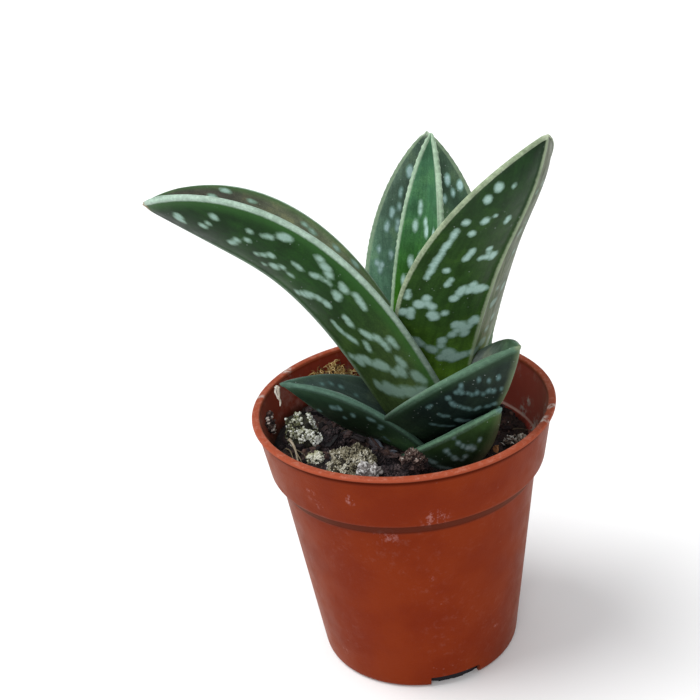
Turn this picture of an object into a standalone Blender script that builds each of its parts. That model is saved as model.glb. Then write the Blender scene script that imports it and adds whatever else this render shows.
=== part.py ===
"""Small potted aloe: a keeled, banded succulent in a 5.5 cm nursery pot, with its soil and litter.

The frame has its origin on the pot's axis at the underside of its base, +Z up, and the side that the
photo shows towards -Y. Lengths are metres and angles degrees unless a name says otherwise.
"""

import math
import random

import bmesh
import bpy
import numpy as np
from mathutils import Matrix, Vector, noise

MM = 0.001
SEED = 11
OBJECT_NAME = "potted_aloe"

# The clear gap between pieces that touch in the real plant.
GAP = 0.34 * MM

# The pot: a thin moulded pot with a rolled lip, a tapering collar, a chamfered step and a plain body.
POT_HEIGHT = 50.4 * MM
POT_SEGMENTS = 64
LIP_RADIUS = 27.5 * MM
LIP_INNER_RADIUS = 26.1 * MM
LIP_FACE = 0.6 * MM
LIP_ROUND = 0.25 * MM
COLLAR_TOP_RADIUS = 26.85 * MM
COLLAR_FOOT_RADIUS = 25.2 * MM
COLLAR_FOOT_HEIGHT = 39.7 * MM
STEP_RADIUS = 23.45 * MM
STEP_HEIGHT = 37.3 * MM
BASE_RADIUS = 18.5 * MM
BASE_ROUND = 1.3 * MM
# The rounded corner at the base, as shares of its radius: (out past the wall's foot, up).
BASE_CORNER = ((0.12, 1.0), (-0.3, 0.3), (-1.0, 0.0))
WALL = 0.85 * MM
FLOOR_THICKNESS = 1.3 * MM

# The drain notches: three, cut through the foot of the wall and the rim of the floor.
NOTCH_BEARINGS = (-70.0, 50.0, 170.0)
NOTCH_WIDTH = 9.6 * MM
NOTCH_HEIGHT = 2.2 * MM
NOTCH_DEPTH = 4.0 * MM
NOTCH_OVERRUN = 2.0 * MM

# The soil: its surface tilts down towards +X and is rough with crumbs.
SOIL_LEVEL = 40.4 * MM
SOIL_TILT = -0.075
SOIL_MOUND = 1.6 * MM
SOIL_MOUND_SPREAD = 13.0 * MM
SOIL_ROUGHNESS = 0.85 * MM
SOIL_GRAIN = 4.2 * MM
SOIL_RINGS = 13
SOIL_SPOKES = 38
SKY_TOP = 60.0 * MM

# The stem: a short stub that stands in a plain hole in the soil and carries the leaf bases.
STEM_FOOT = Vector((3.4, 2.4, 22.0)) * MM
STEM_HEAD = Vector((4.4, 3.6, 48.5)) * MM
STEM_FOOT_RADIUS = 2.8 * MM
STEM_HEAD_RADIUS = 3.4 * MM
STEM_SEGMENTS = 14
HOLE_CLEARANCE = 0.4 * MM
HOLE_OVERRUN = 1.05

# Leaf sections: a V whose outer faces bulge a little, with beads along the two margins and the keel.
LEAF_STATIONS = 18
LEAF_FLESH = 2.3 * MM
MARGIN_BEAD = 0.42 * MM
KEEL_BEAD = 0.4 * MM
FACE_BULGE = 0.09
LEAF_TIP = 0.45 * MM
# Shares of the way from margin to keel where the inner and the outer face have points.
INNER_SHARES = (0.62, 0.3)
OUTER_SHARES = (0.16, 0.5, 0.82)
# The flesh is this much thicker at the groove, and never more than this share of the half width or keel.
GROOVE_FLESH = 1.35
FLESH_SHARE = 0.42
BEAD_SHARE = 0.45
STATION_EASE = 0.92
SHEATH_LENGTH = 5.0 * MM
SHEATH_WIDTH = 0.82

# The leaves, oldest first, since each later leaf is cut clear of those before it.
# foot is where the midline leaves the stem, in mm. heading is the bearing that the leaf points along,
# and drift how far that bearing turns towards the tip. lean is the angle from upright at the foot and
# at the tip, and ease the power by which it changes. length and half_width are in mm. foot_width is
# the share of half_width at the foot, widest the share of the length where the leaf is widest, and
# taper the power of its narrowing. keel is the keel's depth over the half width, at foot and tip, and
# roll the turn about the midline, at foot and tip. skew is how much wider the -X half is than the mean.
LEAVES = (
    dict(name="leaf_low_front", foot=(1.9, -0.2, 39.6), heading=-44, drift=-1, lean=(51.5, 54), ease=1.0,
         length=25.9, half_width=7.3, foot_width=0.76, widest=0.35, taper=2.05, keel=(0.86, 1.14),
         roll=(-7.5, 3.5), skew=0),
    dict(name="leaf_low_left", foot=(3.4, 1.6, 43.4), heading=194.5, drift=5, lean=(39.5, 78), ease=0.98,
         length=30.6, half_width=8.3, foot_width=0.98, widest=0.25, taper=1.92, keel=(0.82, 1.09),
         roll=(-12.5, 9.5), skew=0),
    dict(name="leaf_low_back", foot=(3.6, 3.4, 42.6), heading=76, drift=0, lean=(46, 66), ease=1.0,
         length=27.0, half_width=7.6, foot_width=0.92, widest=0.32, taper=2.0, keel=(0.85, 1.1),
         roll=(0, 0), skew=0),
    dict(name="leaf_low_right", foot=(0.0, 2.0, 47.6), heading=-42, drift=-5, lean=(44, 63.5), ease=1.0,
         length=35.0, half_width=10.5, foot_width=0.9, widest=0.35, taper=2.0, keel=(0.85, 1.17),
         roll=(2, 5), skew=0),
    dict(name="leaf_arching_left", foot=(6.2, 1.3, 52.8), heading=168.5, drift=3, lean=(24, 111), ease=1.87,
         length=68.0, half_width=10.4, foot_width=0.83, widest=0.56, taper=3.8, keel=(1.23, 0.95),
         roll=(22.5, 12), skew=0.05),
    dict(name="leaf_broad_back", foot=(5.3, 4.0, 47.1), heading=81.5, drift=0, lean=(20.5, 26.5), ease=1.0,
         length=50.2, half_width=12.5, foot_width=0.7, widest=0.36, taper=2.4, keel=(0.8, 0.8),
         roll=(-1, 4), skew=0),
    dict(name="leaf_broad_right", foot=(9.2, 6.9, 46.5), heading=-72, drift=39.5, lean=(-9, 43), ease=0.54,
         length=62.6, half_width=13.5, foot_width=0.6, widest=0.47, taper=3.9, keel=(0.74, 0.39),
         roll=(7, -7.5), skew=0.11),
    dict(name="leaf_young", foot=(1.4, 2.8, 48.8), heading=50, drift=-0.5, lean=(10, 15.5), ease=1.0,
         length=49.3, half_width=5.7, foot_width=0.8, widest=0.35, taper=2.3, keel=(0.9, 0.9),
         roll=(-1, 1), skew=0),
)

# Litter on the soil: centre, half sizes and turn about Z of each lump, in mm and degrees.
LUMPS = (
    dict(name="crusted_moss_clump", centre=(-18.7, 3.4, 43.4), half=(3.6, 4.6, 3.5), turn=15, rough=0.3,
         tone=(0.36, 0.38, 0.25)),
    dict(name="tan_litter_clump", centre=(-9.9, -8.6, 42.9), half=(4.7, 4.2, 3.1), turn=-10, rough=0.3,
         tone=(0.34, 0.29, 0.17)),
    dict(name="pale_stone", centre=(-7.0, -14.0, 44.2), half=(2.1, 1.8, 1.7), turn=25, rough=0.22,
         tone=(0.5, 0.49, 0.45)),
    dict(name="dark_soil_clump", centre=(-3.0, -13.4, 42.8), half=(2.4, 2.1, 1.8), turn=5, rough=0.28,
         tone=(0.07, 0.045, 0.03)),
    dict(name="brown_bark_clump", centre=(0.9, -10.6, 43.3), half=(2.5, 2.3, 2.5), turn=40, rough=0.3,
         tone=(0.16, 0.09, 0.05)),
    dict(name="golden_moss_tuft", centre=(-12.0, 16.6, 45.9), half=(4.4, 3.4, 3.8), turn=-25, rough=0.26,
         tone=(0.3, 0.22, 0.09)),
    dict(name="right_crumb_clump", centre=(20.0, -1.8, 40.6), half=(2.3, 2.8, 1.7), turn=10, rough=0.28,
         tone=(0.1, 0.07, 0.04)),
    dict(name="tan_pebble", centre=(16.0, -2.8, 40.0), half=(1.0, 1.3, 0.9), turn=0, rough=0.12,
         tone=(0.45, 0.36, 0.26)),
    dict(name="dried_leaf_tip", centre=(-21.7, -6.4, 56.3), half=(0.5, 0.7, 2.3), turn=20, rough=0.2,
         tone=(0.55, 0.5, 0.4)),
)
LUMP_DETAIL = 3
LUMP_GRAIN = 1.7 * MM

POT_COLOUR = (0.36, 0.07, 0.03)
SOIL_COLOUR = (0.045, 0.03, 0.02)
STEM_COLOUR = (0.3, 0.26, 0.12)
LEAF_COLOUR = (0.06, 0.17, 0.05)


# Objects, collections and materials

def clear_scene():
    for thing in list(bpy.data.objects):
        bpy.data.objects.remove(thing, do_unlink=True)


def new_collection(name):
    group = bpy.data.collections.new(name)
    bpy.context.scene.collection.children.link(group)
    return group


def make_material(name, colour, roughness, coat=0.0):
    material = bpy.data.materials.new(name)
    material.use_nodes = True
    shader = material.node_tree.nodes["Principled BSDF"]
    shader.inputs["Base Color"].default_value = (*colour, 1.0)
    shader.inputs["Roughness"].default_value = roughness
    shader.inputs["Coat Weight"].default_value = coat
    material.diffuse_color = (*colour, 1.0)
    return material


def add_object(name, mesh, group, material=None):
    thing = bpy.data.objects.new(name, mesh)
    group.objects.link(thing)
    if material:
        mesh.materials.append(material)
    return thing


def mesh_from(name, points, faces):
    mesh = bpy.data.meshes.new(name)
    mesh.from_pydata([tuple(point) for point in points], [], faces)
    work = bmesh.new()
    work.from_mesh(mesh)
    bmesh.ops.recalc_face_normals(work, faces=work.faces)
    work.to_mesh(mesh)
    work.free()
    return mesh


def make_cutter(thing):
    thing.hide_render = True
    thing.display_type = "WIRE"
    return thing


def cut(target, cutter, operation="DIFFERENCE"):
    change = target.modifiers.new(f"{operation.lower()}_{cutter.name}", "BOOLEAN")
    change.solver = "EXACT"
    change.operation = operation
    change.object = cutter


def settle(thing):
    """Make the modifiers' result the object's own mesh."""
    bpy.context.view_layer.update()
    graph = bpy.context.evaluated_depsgraph_get()
    mesh = bpy.data.meshes.new_from_object(thing.evaluated_get(graph))
    thing.modifiers.clear()
    thing.data = mesh


def swollen_copy(thing, amount, group):
    """A cutter like the piece, grown outwards by the amount."""
    copy = thing.copy()
    copy.data = thing.data.copy()
    copy.name = f"clearance_{thing.name}"
    group.objects.link(copy)
    grow = copy.modifiers.new("grow", "DISPLACE")
    grow.direction = "NORMAL"
    grow.mid_level = 0.0
    grow.strength = amount
    return make_cutter(copy)


def keep_largest_body(thing):
    """Drop scraps that the cuts left beside the main body."""
    work = bmesh.new()
    work.from_mesh(thing.data)
    unseen = set(work.verts)
    bodies = []
    while unseen:
        reached = {unseen.pop()}
        front = list(reached)
        while front:
            vertex = front.pop()
            for edge in vertex.link_edges:
                other = edge.other_vert(vertex)
                if other in unseen:
                    unseen.discard(other)
                    reached.add(other)
                    front.append(other)
        bodies.append(reached)
    bodies.sort(key=len, reverse=True)
    for scrap in bodies[1:]:
        bmesh.ops.delete(work, geom=list(scrap), context="VERTS")
    work.to_mesh(thing.data)
    work.free()


# The pot

def pot_profile():
    """The pot's section as (radius, height), from the outer edge of the lip down, in and up again."""
    under_lip = POT_HEIGHT - LIP_FACE
    return [
        (LIP_INNER_RADIUS + LIP_ROUND, POT_HEIGHT),
        (LIP_RADIUS - LIP_ROUND, POT_HEIGHT),
        (LIP_RADIUS, POT_HEIGHT - LIP_ROUND),
        (LIP_RADIUS, under_lip),
        (COLLAR_TOP_RADIUS, under_lip - LIP_ROUND),
        (COLLAR_FOOT_RADIUS, COLLAR_FOOT_HEIGHT),
        (STEP_RADIUS, STEP_HEIGHT),
        *((BASE_RADIUS + out * BASE_ROUND, up * BASE_ROUND) for out, up in BASE_CORNER),
        (0.0, 0.0),
    ]


def pot_inner_profile(clearance=0.0):
    """The inside of the wall as (radius, height), top to bottom, moved in by the clearance."""
    return [
        (LIP_INNER_RADIUS - clearance, POT_HEIGHT - LIP_ROUND),
        (COLLAR_TOP_RADIUS - WALL - clearance, POT_HEIGHT - 2 * LIP_FACE),
        (COLLAR_FOOT_RADIUS - WALL - clearance, COLLAR_FOOT_HEIGHT + WALL / 2),
        (STEP_RADIUS - WALL - clearance, STEP_HEIGHT + WALL / 2),
        (BASE_RADIUS - WALL - clearance, FLOOR_THICKNESS + clearance),
        (0.0, FLOOR_THICKNESS + clearance),
    ]


def lathe(name, profile, segments, group, material=None):
    """A closed body turned from a profile whose two ends lie on the axis."""
    points = [(radius, 0.0, height) for radius, height in profile]
    edges = [(i, i + 1) for i in range(len(points) - 1)]
    mesh = bpy.data.meshes.new(name)
    mesh.from_pydata(points, edges, [])
    thing = add_object(name, mesh, group, material)
    screw = thing.modifiers.new("turn", "SCREW")
    screw.axis = "Z"
    screw.steps = segments
    screw.render_steps = segments
    screw.use_merge_vertices = True
    screw.merge_threshold = 0.00001
    screw.use_normal_calculate = True
    return thing


def add_pot(group, cutters):
    outside = pot_profile()
    inside = pot_inner_profile()
    profile = [inside[-1]] + inside[-2::-1] + outside
    plastic = make_material("pot_terracotta_plastic", POT_COLOUR, 0.42, 0.1)
    pot = lathe("pot", profile, POT_SEGMENTS, group, plastic)
    for bearing in NOTCH_BEARINGS:
        angle = math.radians(bearing)
        reach = BASE_RADIUS + (NOTCH_OVERRUN - NOTCH_DEPTH) / 2
        size = (NOTCH_DEPTH + NOTCH_OVERRUN, NOTCH_WIDTH, 2 * NOTCH_HEIGHT)
        notch = box_cutter(f"notch_{int(bearing) % 360}", size, cutters)
        notch.matrix_world = Matrix.Rotation(angle, 4, "Z") @ Matrix.Translation((reach, 0.0, 0.0))
        cut(pot, notch)
    return pot


def box_cutter(name, size, cutters):
    mesh = bpy.data.meshes.new(name)
    work = bmesh.new()
    bmesh.ops.create_cube(work, size=1.0, matrix=Matrix.Diagonal((*size, 1.0)))
    work.to_mesh(mesh)
    work.free()
    return make_cutter(add_object(name, mesh, cutters))


# The leaves

def midline(leaf, shares):
    """Points, tangents, widthways and inward directions of the midline at shares of the leaf's length."""
    lean = np.radians(leaf["lean"][0] + (leaf["lean"][1] - leaf["lean"][0]) * shares ** leaf["ease"])
    bearing = np.radians(leaf["heading"] + leaf["drift"] * shares)
    roll = np.radians(leaf["roll"][0] + (leaf["roll"][1] - leaf["roll"][0]) * shares)
    level = np.stack([np.cos(bearing), np.sin(bearing), 0.0 * bearing], axis=1)
    up = np.array([0.0, 0.0, 1.0])
    along = np.sin(lean)[:, None] * level + np.cos(lean)[:, None] * up
    flat_across = np.stack([-np.sin(bearing), np.cos(bearing), 0.0 * bearing], axis=1)
    flat_inward = -np.cos(lean)[:, None] * level + np.sin(lean)[:, None] * up
    across = np.cos(roll)[:, None] * flat_across + np.sin(roll)[:, None] * flat_inward
    inward = np.cos(roll)[:, None] * flat_inward - np.sin(roll)[:, None] * flat_across
    steps = np.diff(shares)[:, None] * leaf["length"] * MM * (along[1:] + along[:-1]) / 2
    points = np.array(leaf["foot"]) * MM + np.vstack([np.zeros(3), np.cumsum(steps, axis=0)])
    return points, along, across, inward


def half_widths(leaf, shares):
    """The half width at each share: it swells to its widest and then narrows to the tip."""
    widest = leaf["widest"]
    rise = leaf["foot_width"] + (1 - leaf["foot_width"]) * np.sin(np.pi / 2 * np.clip(shares / widest, 0, 1))
    fall = 1 - np.clip((shares - widest) / (1 - widest), 0, 1) ** leaf["taper"]
    return np.maximum(leaf["half_width"] * MM * np.where(shares < widest, rise, fall), LEAF_TIP)


def leaf_section(half_width, keel, skew):
    """One section as (across, inward) pairs: from the groove along one half to the keel, and back."""
    half = half_section(half_width * (1 - skew), keel)
    other = half_section(half_width * (1 + skew), keel)
    return half + [Vector((-point.x, point.y)) for point in reversed(other[1:-1])]


def half_section(half_width, keel):
    """The +X half of a section, from the groove over the margin to the keel."""
    face = math.hypot(half_width, keel)
    flesh = min(LEAF_FLESH, FLESH_SHARE * min(half_width, keel))
    bead = min(MARGIN_BEAD, BEAD_SHARE * half_width)
    ridge = min(KEEL_BEAD, BEAD_SHARE * half_width)
    out = Vector((keel, -half_width)) / face
    margin = Vector((half_width - bead, 0.0))
    bottom = Vector((0.0, -keel + ridge / 2))
    half = [Vector((0.0, -keel + flesh * GROOVE_FLESH + ridge))]
    for share in INNER_SHARES:
        half.append(margin.lerp(bottom, share) - out * flesh * (1 + share) / 2)
    half.append(margin - out * bead - Vector((bead / 2, 0.0)))
    half.append(margin + Vector((0.0, bead)))
    half.append(margin + out * bead)
    for share in OUTER_SHARES:
        half.append(margin.lerp(bottom, share) + out * face * FACE_BULGE * math.sin(math.pi * share))
    half.append(bottom + Vector((ridge, ridge / 2)))
    half.append(bottom + Vector((0.0, -ridge / 2)))
    return half


def stem_point(height):
    """The point on the stem's axis at a height."""
    share = (height - STEM_FOOT.z) / (STEM_HEAD.z - STEM_FOOT.z)
    return np.array(STEM_FOOT.lerp(STEM_HEAD, share))


def leaf_mesh(leaf):
    shares = np.linspace(0.0, 1.0, LEAF_STATIONS) ** STATION_EASE
    points, along, across, inward = midline(leaf, shares)
    widths = half_widths(leaf, shares)
    keels = widths * (leaf["keel"][0] + (leaf["keel"][1] - leaf["keel"][0]) * shares)
    rings = []
    sheath = (points[0] - along[0] * SHEATH_LENGTH + stem_point(points[0][2] - SHEATH_LENGTH)) / 2
    rings.append((sheath, across[0], inward[0], widths[0] * SHEATH_WIDTH, keels[0] * SHEATH_WIDTH))
    for i in range(LEAF_STATIONS):
        rings.append((points[i], across[i], inward[i], widths[i], keels[i]))
    vertices = []
    for centre, side, inner, width, keel in rings:
        for x, y in leaf_section(width, keel, leaf["skew"]):
            vertices.append(centre + side * x + inner * y)
    count = len(leaf_section(MM, MM, 0))
    faces = []
    for ring in range(len(rings) - 1):
        for i in range(count):
            a = ring * count + i
            b = ring * count + (i + 1) % count
            if i < count // 2:
                faces += [(a, b, a + count), (b, b + count, a + count)]
            else:
                faces += [(a, b, b + count), (a, b + count, a + count)]
    faces.append(tuple(range(count)))
    tip = len(vertices)
    vertices.append(rings[-1][0] + along[-1] * LEAF_TIP / 2 - rings[-1][2] * LEAF_TIP / 2)
    last = (len(rings) - 1) * count
    for i in range(count):
        faces.append((tip, last + i, last + (i + 1) % count))
    return mesh_from(leaf["name"], vertices, faces)


def add_leaves(group, cutters, stem_clearance):
    """Make the leaves oldest first, each cut clear of the stem and of the leaves around it."""
    clearances = [stem_clearance]
    for leaf in LEAVES:
        skin = make_material(f"{leaf['name']}_skin", LEAF_COLOUR, 0.4, 0.15)
        piece = add_object(leaf["name"], leaf_mesh(leaf), group, skin)
        whole = swollen_copy(piece, GAP, cutters)
        for clearance in clearances:
            cut(piece, clearance)
        settle(piece)
        keep_largest_body(piece)
        clearances.append(whole)
    return clearances


# Stem, soil and litter

def add_stem(group, cutters):
    """Make the stem, and the cutter for the plain hole that it stands in."""
    axis = STEM_HEAD - STEM_FOOT
    radii = (STEM_FOOT_RADIUS, STEM_HEAD_RADIUS)
    cone("stem", radii, axis, group, make_material("stem_skin", STEM_COLOUR, 0.7))
    hole = cone("stem_hole", [radius + HOLE_CLEARANCE for radius in radii], axis * HOLE_OVERRUN, cutters)
    hole.location -= axis.normalized() * HOLE_CLEARANCE
    return make_cutter(hole)


def cone(name, radii, axis, group, material=None):
    mesh = bpy.data.meshes.new(name)
    work = bmesh.new()
    turn = Vector((0.0, 0.0, 1.0)).rotation_difference(axis).to_matrix().to_4x4()
    middle = Matrix.Translation(STEM_FOOT + axis / 2)
    bmesh.ops.create_cone(work, cap_ends=True, segments=STEM_SEGMENTS, radius1=radii[0], radius2=radii[1],
                          depth=axis.length, matrix=middle @ turn)
    work.to_mesh(mesh)
    work.free()
    return add_object(name, mesh, group, material)


def soil_height(x, y):
    """The soil's surface: a tilted plane with a low mound at the plant and noise for its crumbs."""
    mound = SOIL_MOUND * math.exp(-(x * x + y * y) / SOIL_MOUND_SPREAD ** 2)
    place = Vector((x, y, 0.0)) / SOIL_GRAIN
    crumbs = noise.noise(place) + 0.5 * noise.noise(place * 2.3 + Vector((7.0, 3.0, 1.0)))
    return SOIL_LEVEL + SOIL_TILT * x + mound + SOIL_ROUGHNESS * crumbs


def sky_points():
    """The relief of the soil's surface as a centre and rings of points, then a ring well above its rim."""
    points = [Vector((0.0, 0.0, soil_height(0.0, 0.0)))]
    for ring in range(1, SOIL_RINGS + 1):
        radius = LIP_RADIUS * ring / SOIL_RINGS
        for spoke in range(SOIL_SPOKES):
            angle = 2 * math.pi * (spoke + (ring % 2) / 2) / SOIL_SPOKES
            x, y = radius * math.cos(angle), radius * math.sin(angle)
            points.append(Vector((x, y, soil_height(x, y))))
    points += [Vector((point.x, point.y, SKY_TOP)) for point in points[-SOIL_SPOKES:]]
    return points


def sky_faces():
    """Faces over the points of sky_points: a fan, bands of triangles, an upright wall and a lid."""
    faces = [(0, 1 + i, 1 + (i + 1) % SOIL_SPOKES) for i in range(SOIL_SPOKES)]
    for ring in range(SOIL_RINGS):
        first = 1 + ring * SOIL_SPOKES
        for i in range(SOIL_SPOKES):
            a, b = first + i, first + (i + 1) % SOIL_SPOKES
            c, d = a + SOIL_SPOKES, b + SOIL_SPOKES
            if ring == SOIL_RINGS - 1:
                faces.append((a, c, d, b))
            elif ring % 2:
                faces += [(a, c, b), (b, c, d)]
            else:
                faces += [(a, c, d), (a, d, b)]
    lid = 1 + SOIL_RINGS * SOIL_SPOKES
    faces.append(tuple(range(lid, lid + SOIL_SPOKES)))
    return faces


def add_soil(group, cutters, clearances):
    """Fill the pot, then cut the fill down to its relief and clear of all that stands in it."""
    profile = [(0.0, POT_HEIGHT - LIP_ROUND)] + pot_inner_profile(GAP)
    soil = lathe("soil", profile, POT_SEGMENTS, group, make_material("potting_soil", SOIL_COLOUR, 0.95))
    sky = add_object("sky_over_soil", mesh_from("sky_over_soil", sky_points(), sky_faces()), cutters)
    for cutter in [make_cutter(sky)] + clearances:
        cut(soil, cutter)
    settle(soil)
    keep_largest_body(soil)


def lump_mesh(lump, chance):
    """A rough lump: a sphere pushed in and out by noise, then squashed to its half sizes."""
    mesh = bpy.data.meshes.new(lump["name"])
    work = bmesh.new()
    bmesh.ops.create_icosphere(work, subdivisions=LUMP_DETAIL, radius=1.0)
    shift = Vector([chance.uniform(0.0, 40.0) for _ in range(3)])
    half = Vector(lump["half"]) * MM
    turn = Matrix.Rotation(math.radians(lump["turn"]), 4, "Z")
    for vertex in work.verts:
        place = Vector([vertex.co[i] * half[i] for i in range(3)]) / LUMP_GRAIN + shift
        swell = 1.0 + lump["rough"] * noise.noise(place)
        shape = Vector([vertex.co[i] * half[i] * swell for i in range(3)])
        vertex.co = turn @ shape + Vector(lump["centre"]) * MM
    work.to_mesh(mesh)
    work.free()
    return mesh


def add_lumps(group, cutters, clearances):
    chance = random.Random(SEED)
    made = []
    for lump in LUMPS:
        matter = make_material(f"{lump['name']}_matter", lump["tone"], 0.9)
        piece = add_object(lump["name"], lump_mesh(lump, chance), group, matter)
        whole = swollen_copy(piece, GAP, cutters)
        for clearance in clearances + made:
            cut(piece, clearance)
        settle(piece)
        keep_largest_body(piece)
        made.append(whole)
    return made


def main():
    clear_scene()
    group = new_collection(OBJECT_NAME)
    cutters = new_collection("cutters")
    pot = add_pot(group, cutters)
    hole = add_stem(group, cutters)
    leaf_clearances = add_leaves(group, cutters, hole)
    settle(pot)
    wall = swollen_copy(pot, GAP, cutters)
    lump_clearances = add_lumps(group, cutters, [wall] + leaf_clearances)
    add_soil(group, cutters, leaf_clearances + lump_clearances)


main()
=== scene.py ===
# %% [markdown]
# # A spotted aloe in its nursery pot
#
# The object is a young aloe with eight thick, keeled leaves in a small brown-red plastic pot that is
# filled with dark potting soil. The shapes that matter for size are already made as simple solids and
# come in below as a fixed frame. This lesson dresses them: each leaf gets a finer skin with its pale
# marks, the soil gets its crumbs and mosses, and the pot gets its rounded lip, dust and lime.

import bmesh
import bpy
import numpy as np
from mathutils import Matrix, Vector


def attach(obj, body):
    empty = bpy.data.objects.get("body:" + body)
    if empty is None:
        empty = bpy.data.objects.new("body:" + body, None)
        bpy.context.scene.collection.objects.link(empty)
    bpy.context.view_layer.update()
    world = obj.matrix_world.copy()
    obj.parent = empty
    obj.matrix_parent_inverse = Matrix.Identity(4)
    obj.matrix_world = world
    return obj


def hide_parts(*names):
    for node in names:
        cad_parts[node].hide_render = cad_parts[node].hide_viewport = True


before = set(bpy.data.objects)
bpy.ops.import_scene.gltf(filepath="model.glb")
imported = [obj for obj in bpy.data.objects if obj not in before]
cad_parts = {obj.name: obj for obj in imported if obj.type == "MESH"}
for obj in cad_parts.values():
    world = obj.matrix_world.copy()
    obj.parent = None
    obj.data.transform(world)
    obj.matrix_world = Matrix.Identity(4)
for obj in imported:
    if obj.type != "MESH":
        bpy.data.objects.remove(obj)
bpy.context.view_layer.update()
MM = 0.001
print("nodes in the frame:", ", ".join(sorted(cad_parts)))

# %% [markdown]
# ## The camera
#
# The pot's lip and foot are circles, so their ellipses in the picture tell where the camera stood:
# about 29 cm from the pot, a little above it, with the horizon turned by a few degrees. The camera is
# placed by one matrix, and its lens is given by its width of view.

# %% Camera
CAMERA_PLACE = np.array([0.0, -232.64517, 175.33674]) * MM
CAMERA_AHEAD = np.array([-0.0331494, 0.89759679, -0.43956925])
CAMERA_RIGHT = np.array([0.99600747, -0.00680601, -0.0890101])
CAMERA_UP = np.array([0.0828869, 0.44076488, 0.89378749])
VIEW_PIXELS = 700
FOCAL_PIXELS = 1457.6


def linked(name, data):
    """A new object that holds the data, in the scene."""
    thing = bpy.data.objects.new(name, data)
    bpy.context.scene.collection.objects.link(thing)
    return thing


lens = bpy.data.cameras.new("camera")
lens.sensor_width = 36.0
lens.lens = lens.sensor_width * FOCAL_PIXELS / VIEW_PIXELS
lens.clip_start = 0.01
lens.clip_end = 20.0
camera = linked("camera", lens)
turn = np.stack([CAMERA_RIGHT, CAMERA_UP, -CAMERA_AHEAD], axis=1)
camera.matrix_world = Matrix.Translation(CAMERA_PLACE) @ Matrix(turn.tolist()).to_4x4()
bpy.context.scene.camera = camera
print("lens in mm:", round(lens.lens, 2))

# %% [markdown]
# ## Floor and light
#
# A studio shot of a small plant has a white sheet below it and a bright room round it. The room is the
# world's even white; one broad sun from the upper left gives the leaves their form and lays the soft
# shadow that falls to the right of the pot. A weaker one beside the camera reaches in between the
# leaves, and its own shadows hide behind the plant.

# %% Floor
FLOOR_HALF_SIDE = 12.0
FLOOR_WHITE = (0.885, 0.885, 0.885, 1.0)


def make_floor():
    """A square sheet at height 0."""
    mesh = bpy.data.meshes.new("floor")
    side = FLOOR_HALF_SIDE
    corners = [(-side, -side, 0), (side, -side, 0), (side, side, 0), (-side, side, 0)]
    mesh.from_pydata(corners, [], [(0, 1, 2, 3)])
    white = bpy.data.materials.new("white_sheet")
    white.use_nodes = True
    shader = white.node_tree.nodes["Principled BSDF"]
    shader.inputs["Base Color"].default_value = FLOOR_WHITE
    shader.inputs["Roughness"].default_value = 0.9
    shader.inputs["Specular IOR Level"].default_value = 0.1
    mesh.materials.append(white)
    return linked("floor", mesh)


floor = make_floor()
print("side of the sheet in m:", 2 * FLOOR_HALF_SIDE)

# %% Light
ROOM_STRENGTH = 0.6
ROOM_TONE = (0.97, 0.985, 1.0, 1.0)
KEY_STRENGTH = 2.3
KEY_SPREAD = 38
KEY_TOWARDS = np.array([0.44, 0.02, -0.9])
FILL_STRENGTH = 0.9
FILL_SPREAD = 30
FILL_TOWARDS = CAMERA_AHEAD + (0.1, 0.0, -0.12)
LAMP_PLACE = (0.0, -0.3, 0.5)

room = bpy.data.worlds.new("room")
room.use_nodes = True
room_light = room.node_tree.nodes["Background"]
room_light.inputs["Color"].default_value = ROOM_TONE
room_light.inputs["Strength"].default_value = ROOM_STRENGTH
bpy.context.scene.world = room


def broad_sun(name, strength, spread, towards):
    """A lamp of parallel light that is as wide in the sky as its spread in degrees."""
    light = bpy.data.lights.new(name, "SUN")
    light.energy = strength
    light.angle = np.radians(spread)
    lamp = linked(name, light)
    lamp.location = LAMP_PLACE
    lamp.rotation_mode = "QUATERNION"
    lamp.rotation_quaternion = Vector(towards).to_track_quat("-Z", "Y")


broad_sun("key", KEY_STRENGTH, KEY_SPREAD, KEY_TOWARDS)
broad_sun("fill", FILL_STRENGTH, FILL_SPREAD, FILL_TOWARDS)
bpy.context.scene.view_settings.view_transform = "Standard"
key_lean = float(np.degrees(np.arccos(-KEY_TOWARDS[2])))
print("the key light leans from the upright by", round(key_lean), "degrees")

# %% [markdown]
# ## Tools for making surfaces
#
# Every new piece here is a grid of points worked out as whole arrays: a shape is a function of two
# numbers, one running along the piece and one running round it. A few helpers turn such a grid into a
# mesh, and a soft noise gives natural things their unevenness without any picture.

# %% Noise as arrays
WAVES = np.array([127.1, 311.7, 74.7])
SEED_STEP = 19.19
SINE_SIZE = 43758.5453
LAYER_SHIFT = 17.3


def lattice_chance(place, seed):
    """A repeatable number from 0 to 1 for each whole-number place: what follows the point of a big sine."""
    mixed = np.sin(place @ WAVES + SEED_STEP * seed) * SINE_SIZE
    return mixed - np.floor(mixed)


def soft_noise(points, seed=0):
    """Value noise from -1 to 1: the chances at the eight corners of each cell, blended by s·s·(3 - 2s)."""
    low = np.floor(points)
    share = points - low
    share = share * share * (3 - 2 * share)
    total = np.zeros(points.shape[:-1])
    for corner in np.ndindex(2, 2, 2):
        pick = np.array(corner)
        weight = np.prod(np.where(pick == 1, share, 1 - share), axis=-1)
        total += weight * lattice_chance(low + pick, seed)
    return 2 * total - 1


def layered_noise(points, layers, seed):
    """Several soft noises added, each twice as fine and half as strong as the one before."""
    total = np.zeros(points.shape[:-1])
    for layer in range(layers):
        total += soft_noise(points * 2.0 ** layer + LAYER_SHIFT * layer, seed + layer) / 2.0 ** layer
    return total


print("noise at three places:", soft_noise(np.array([[0.5, 0, 0], [1.5, 2, 0], [3.2, 1, 4]])).round(2))

# %% Grid to mesh

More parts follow.
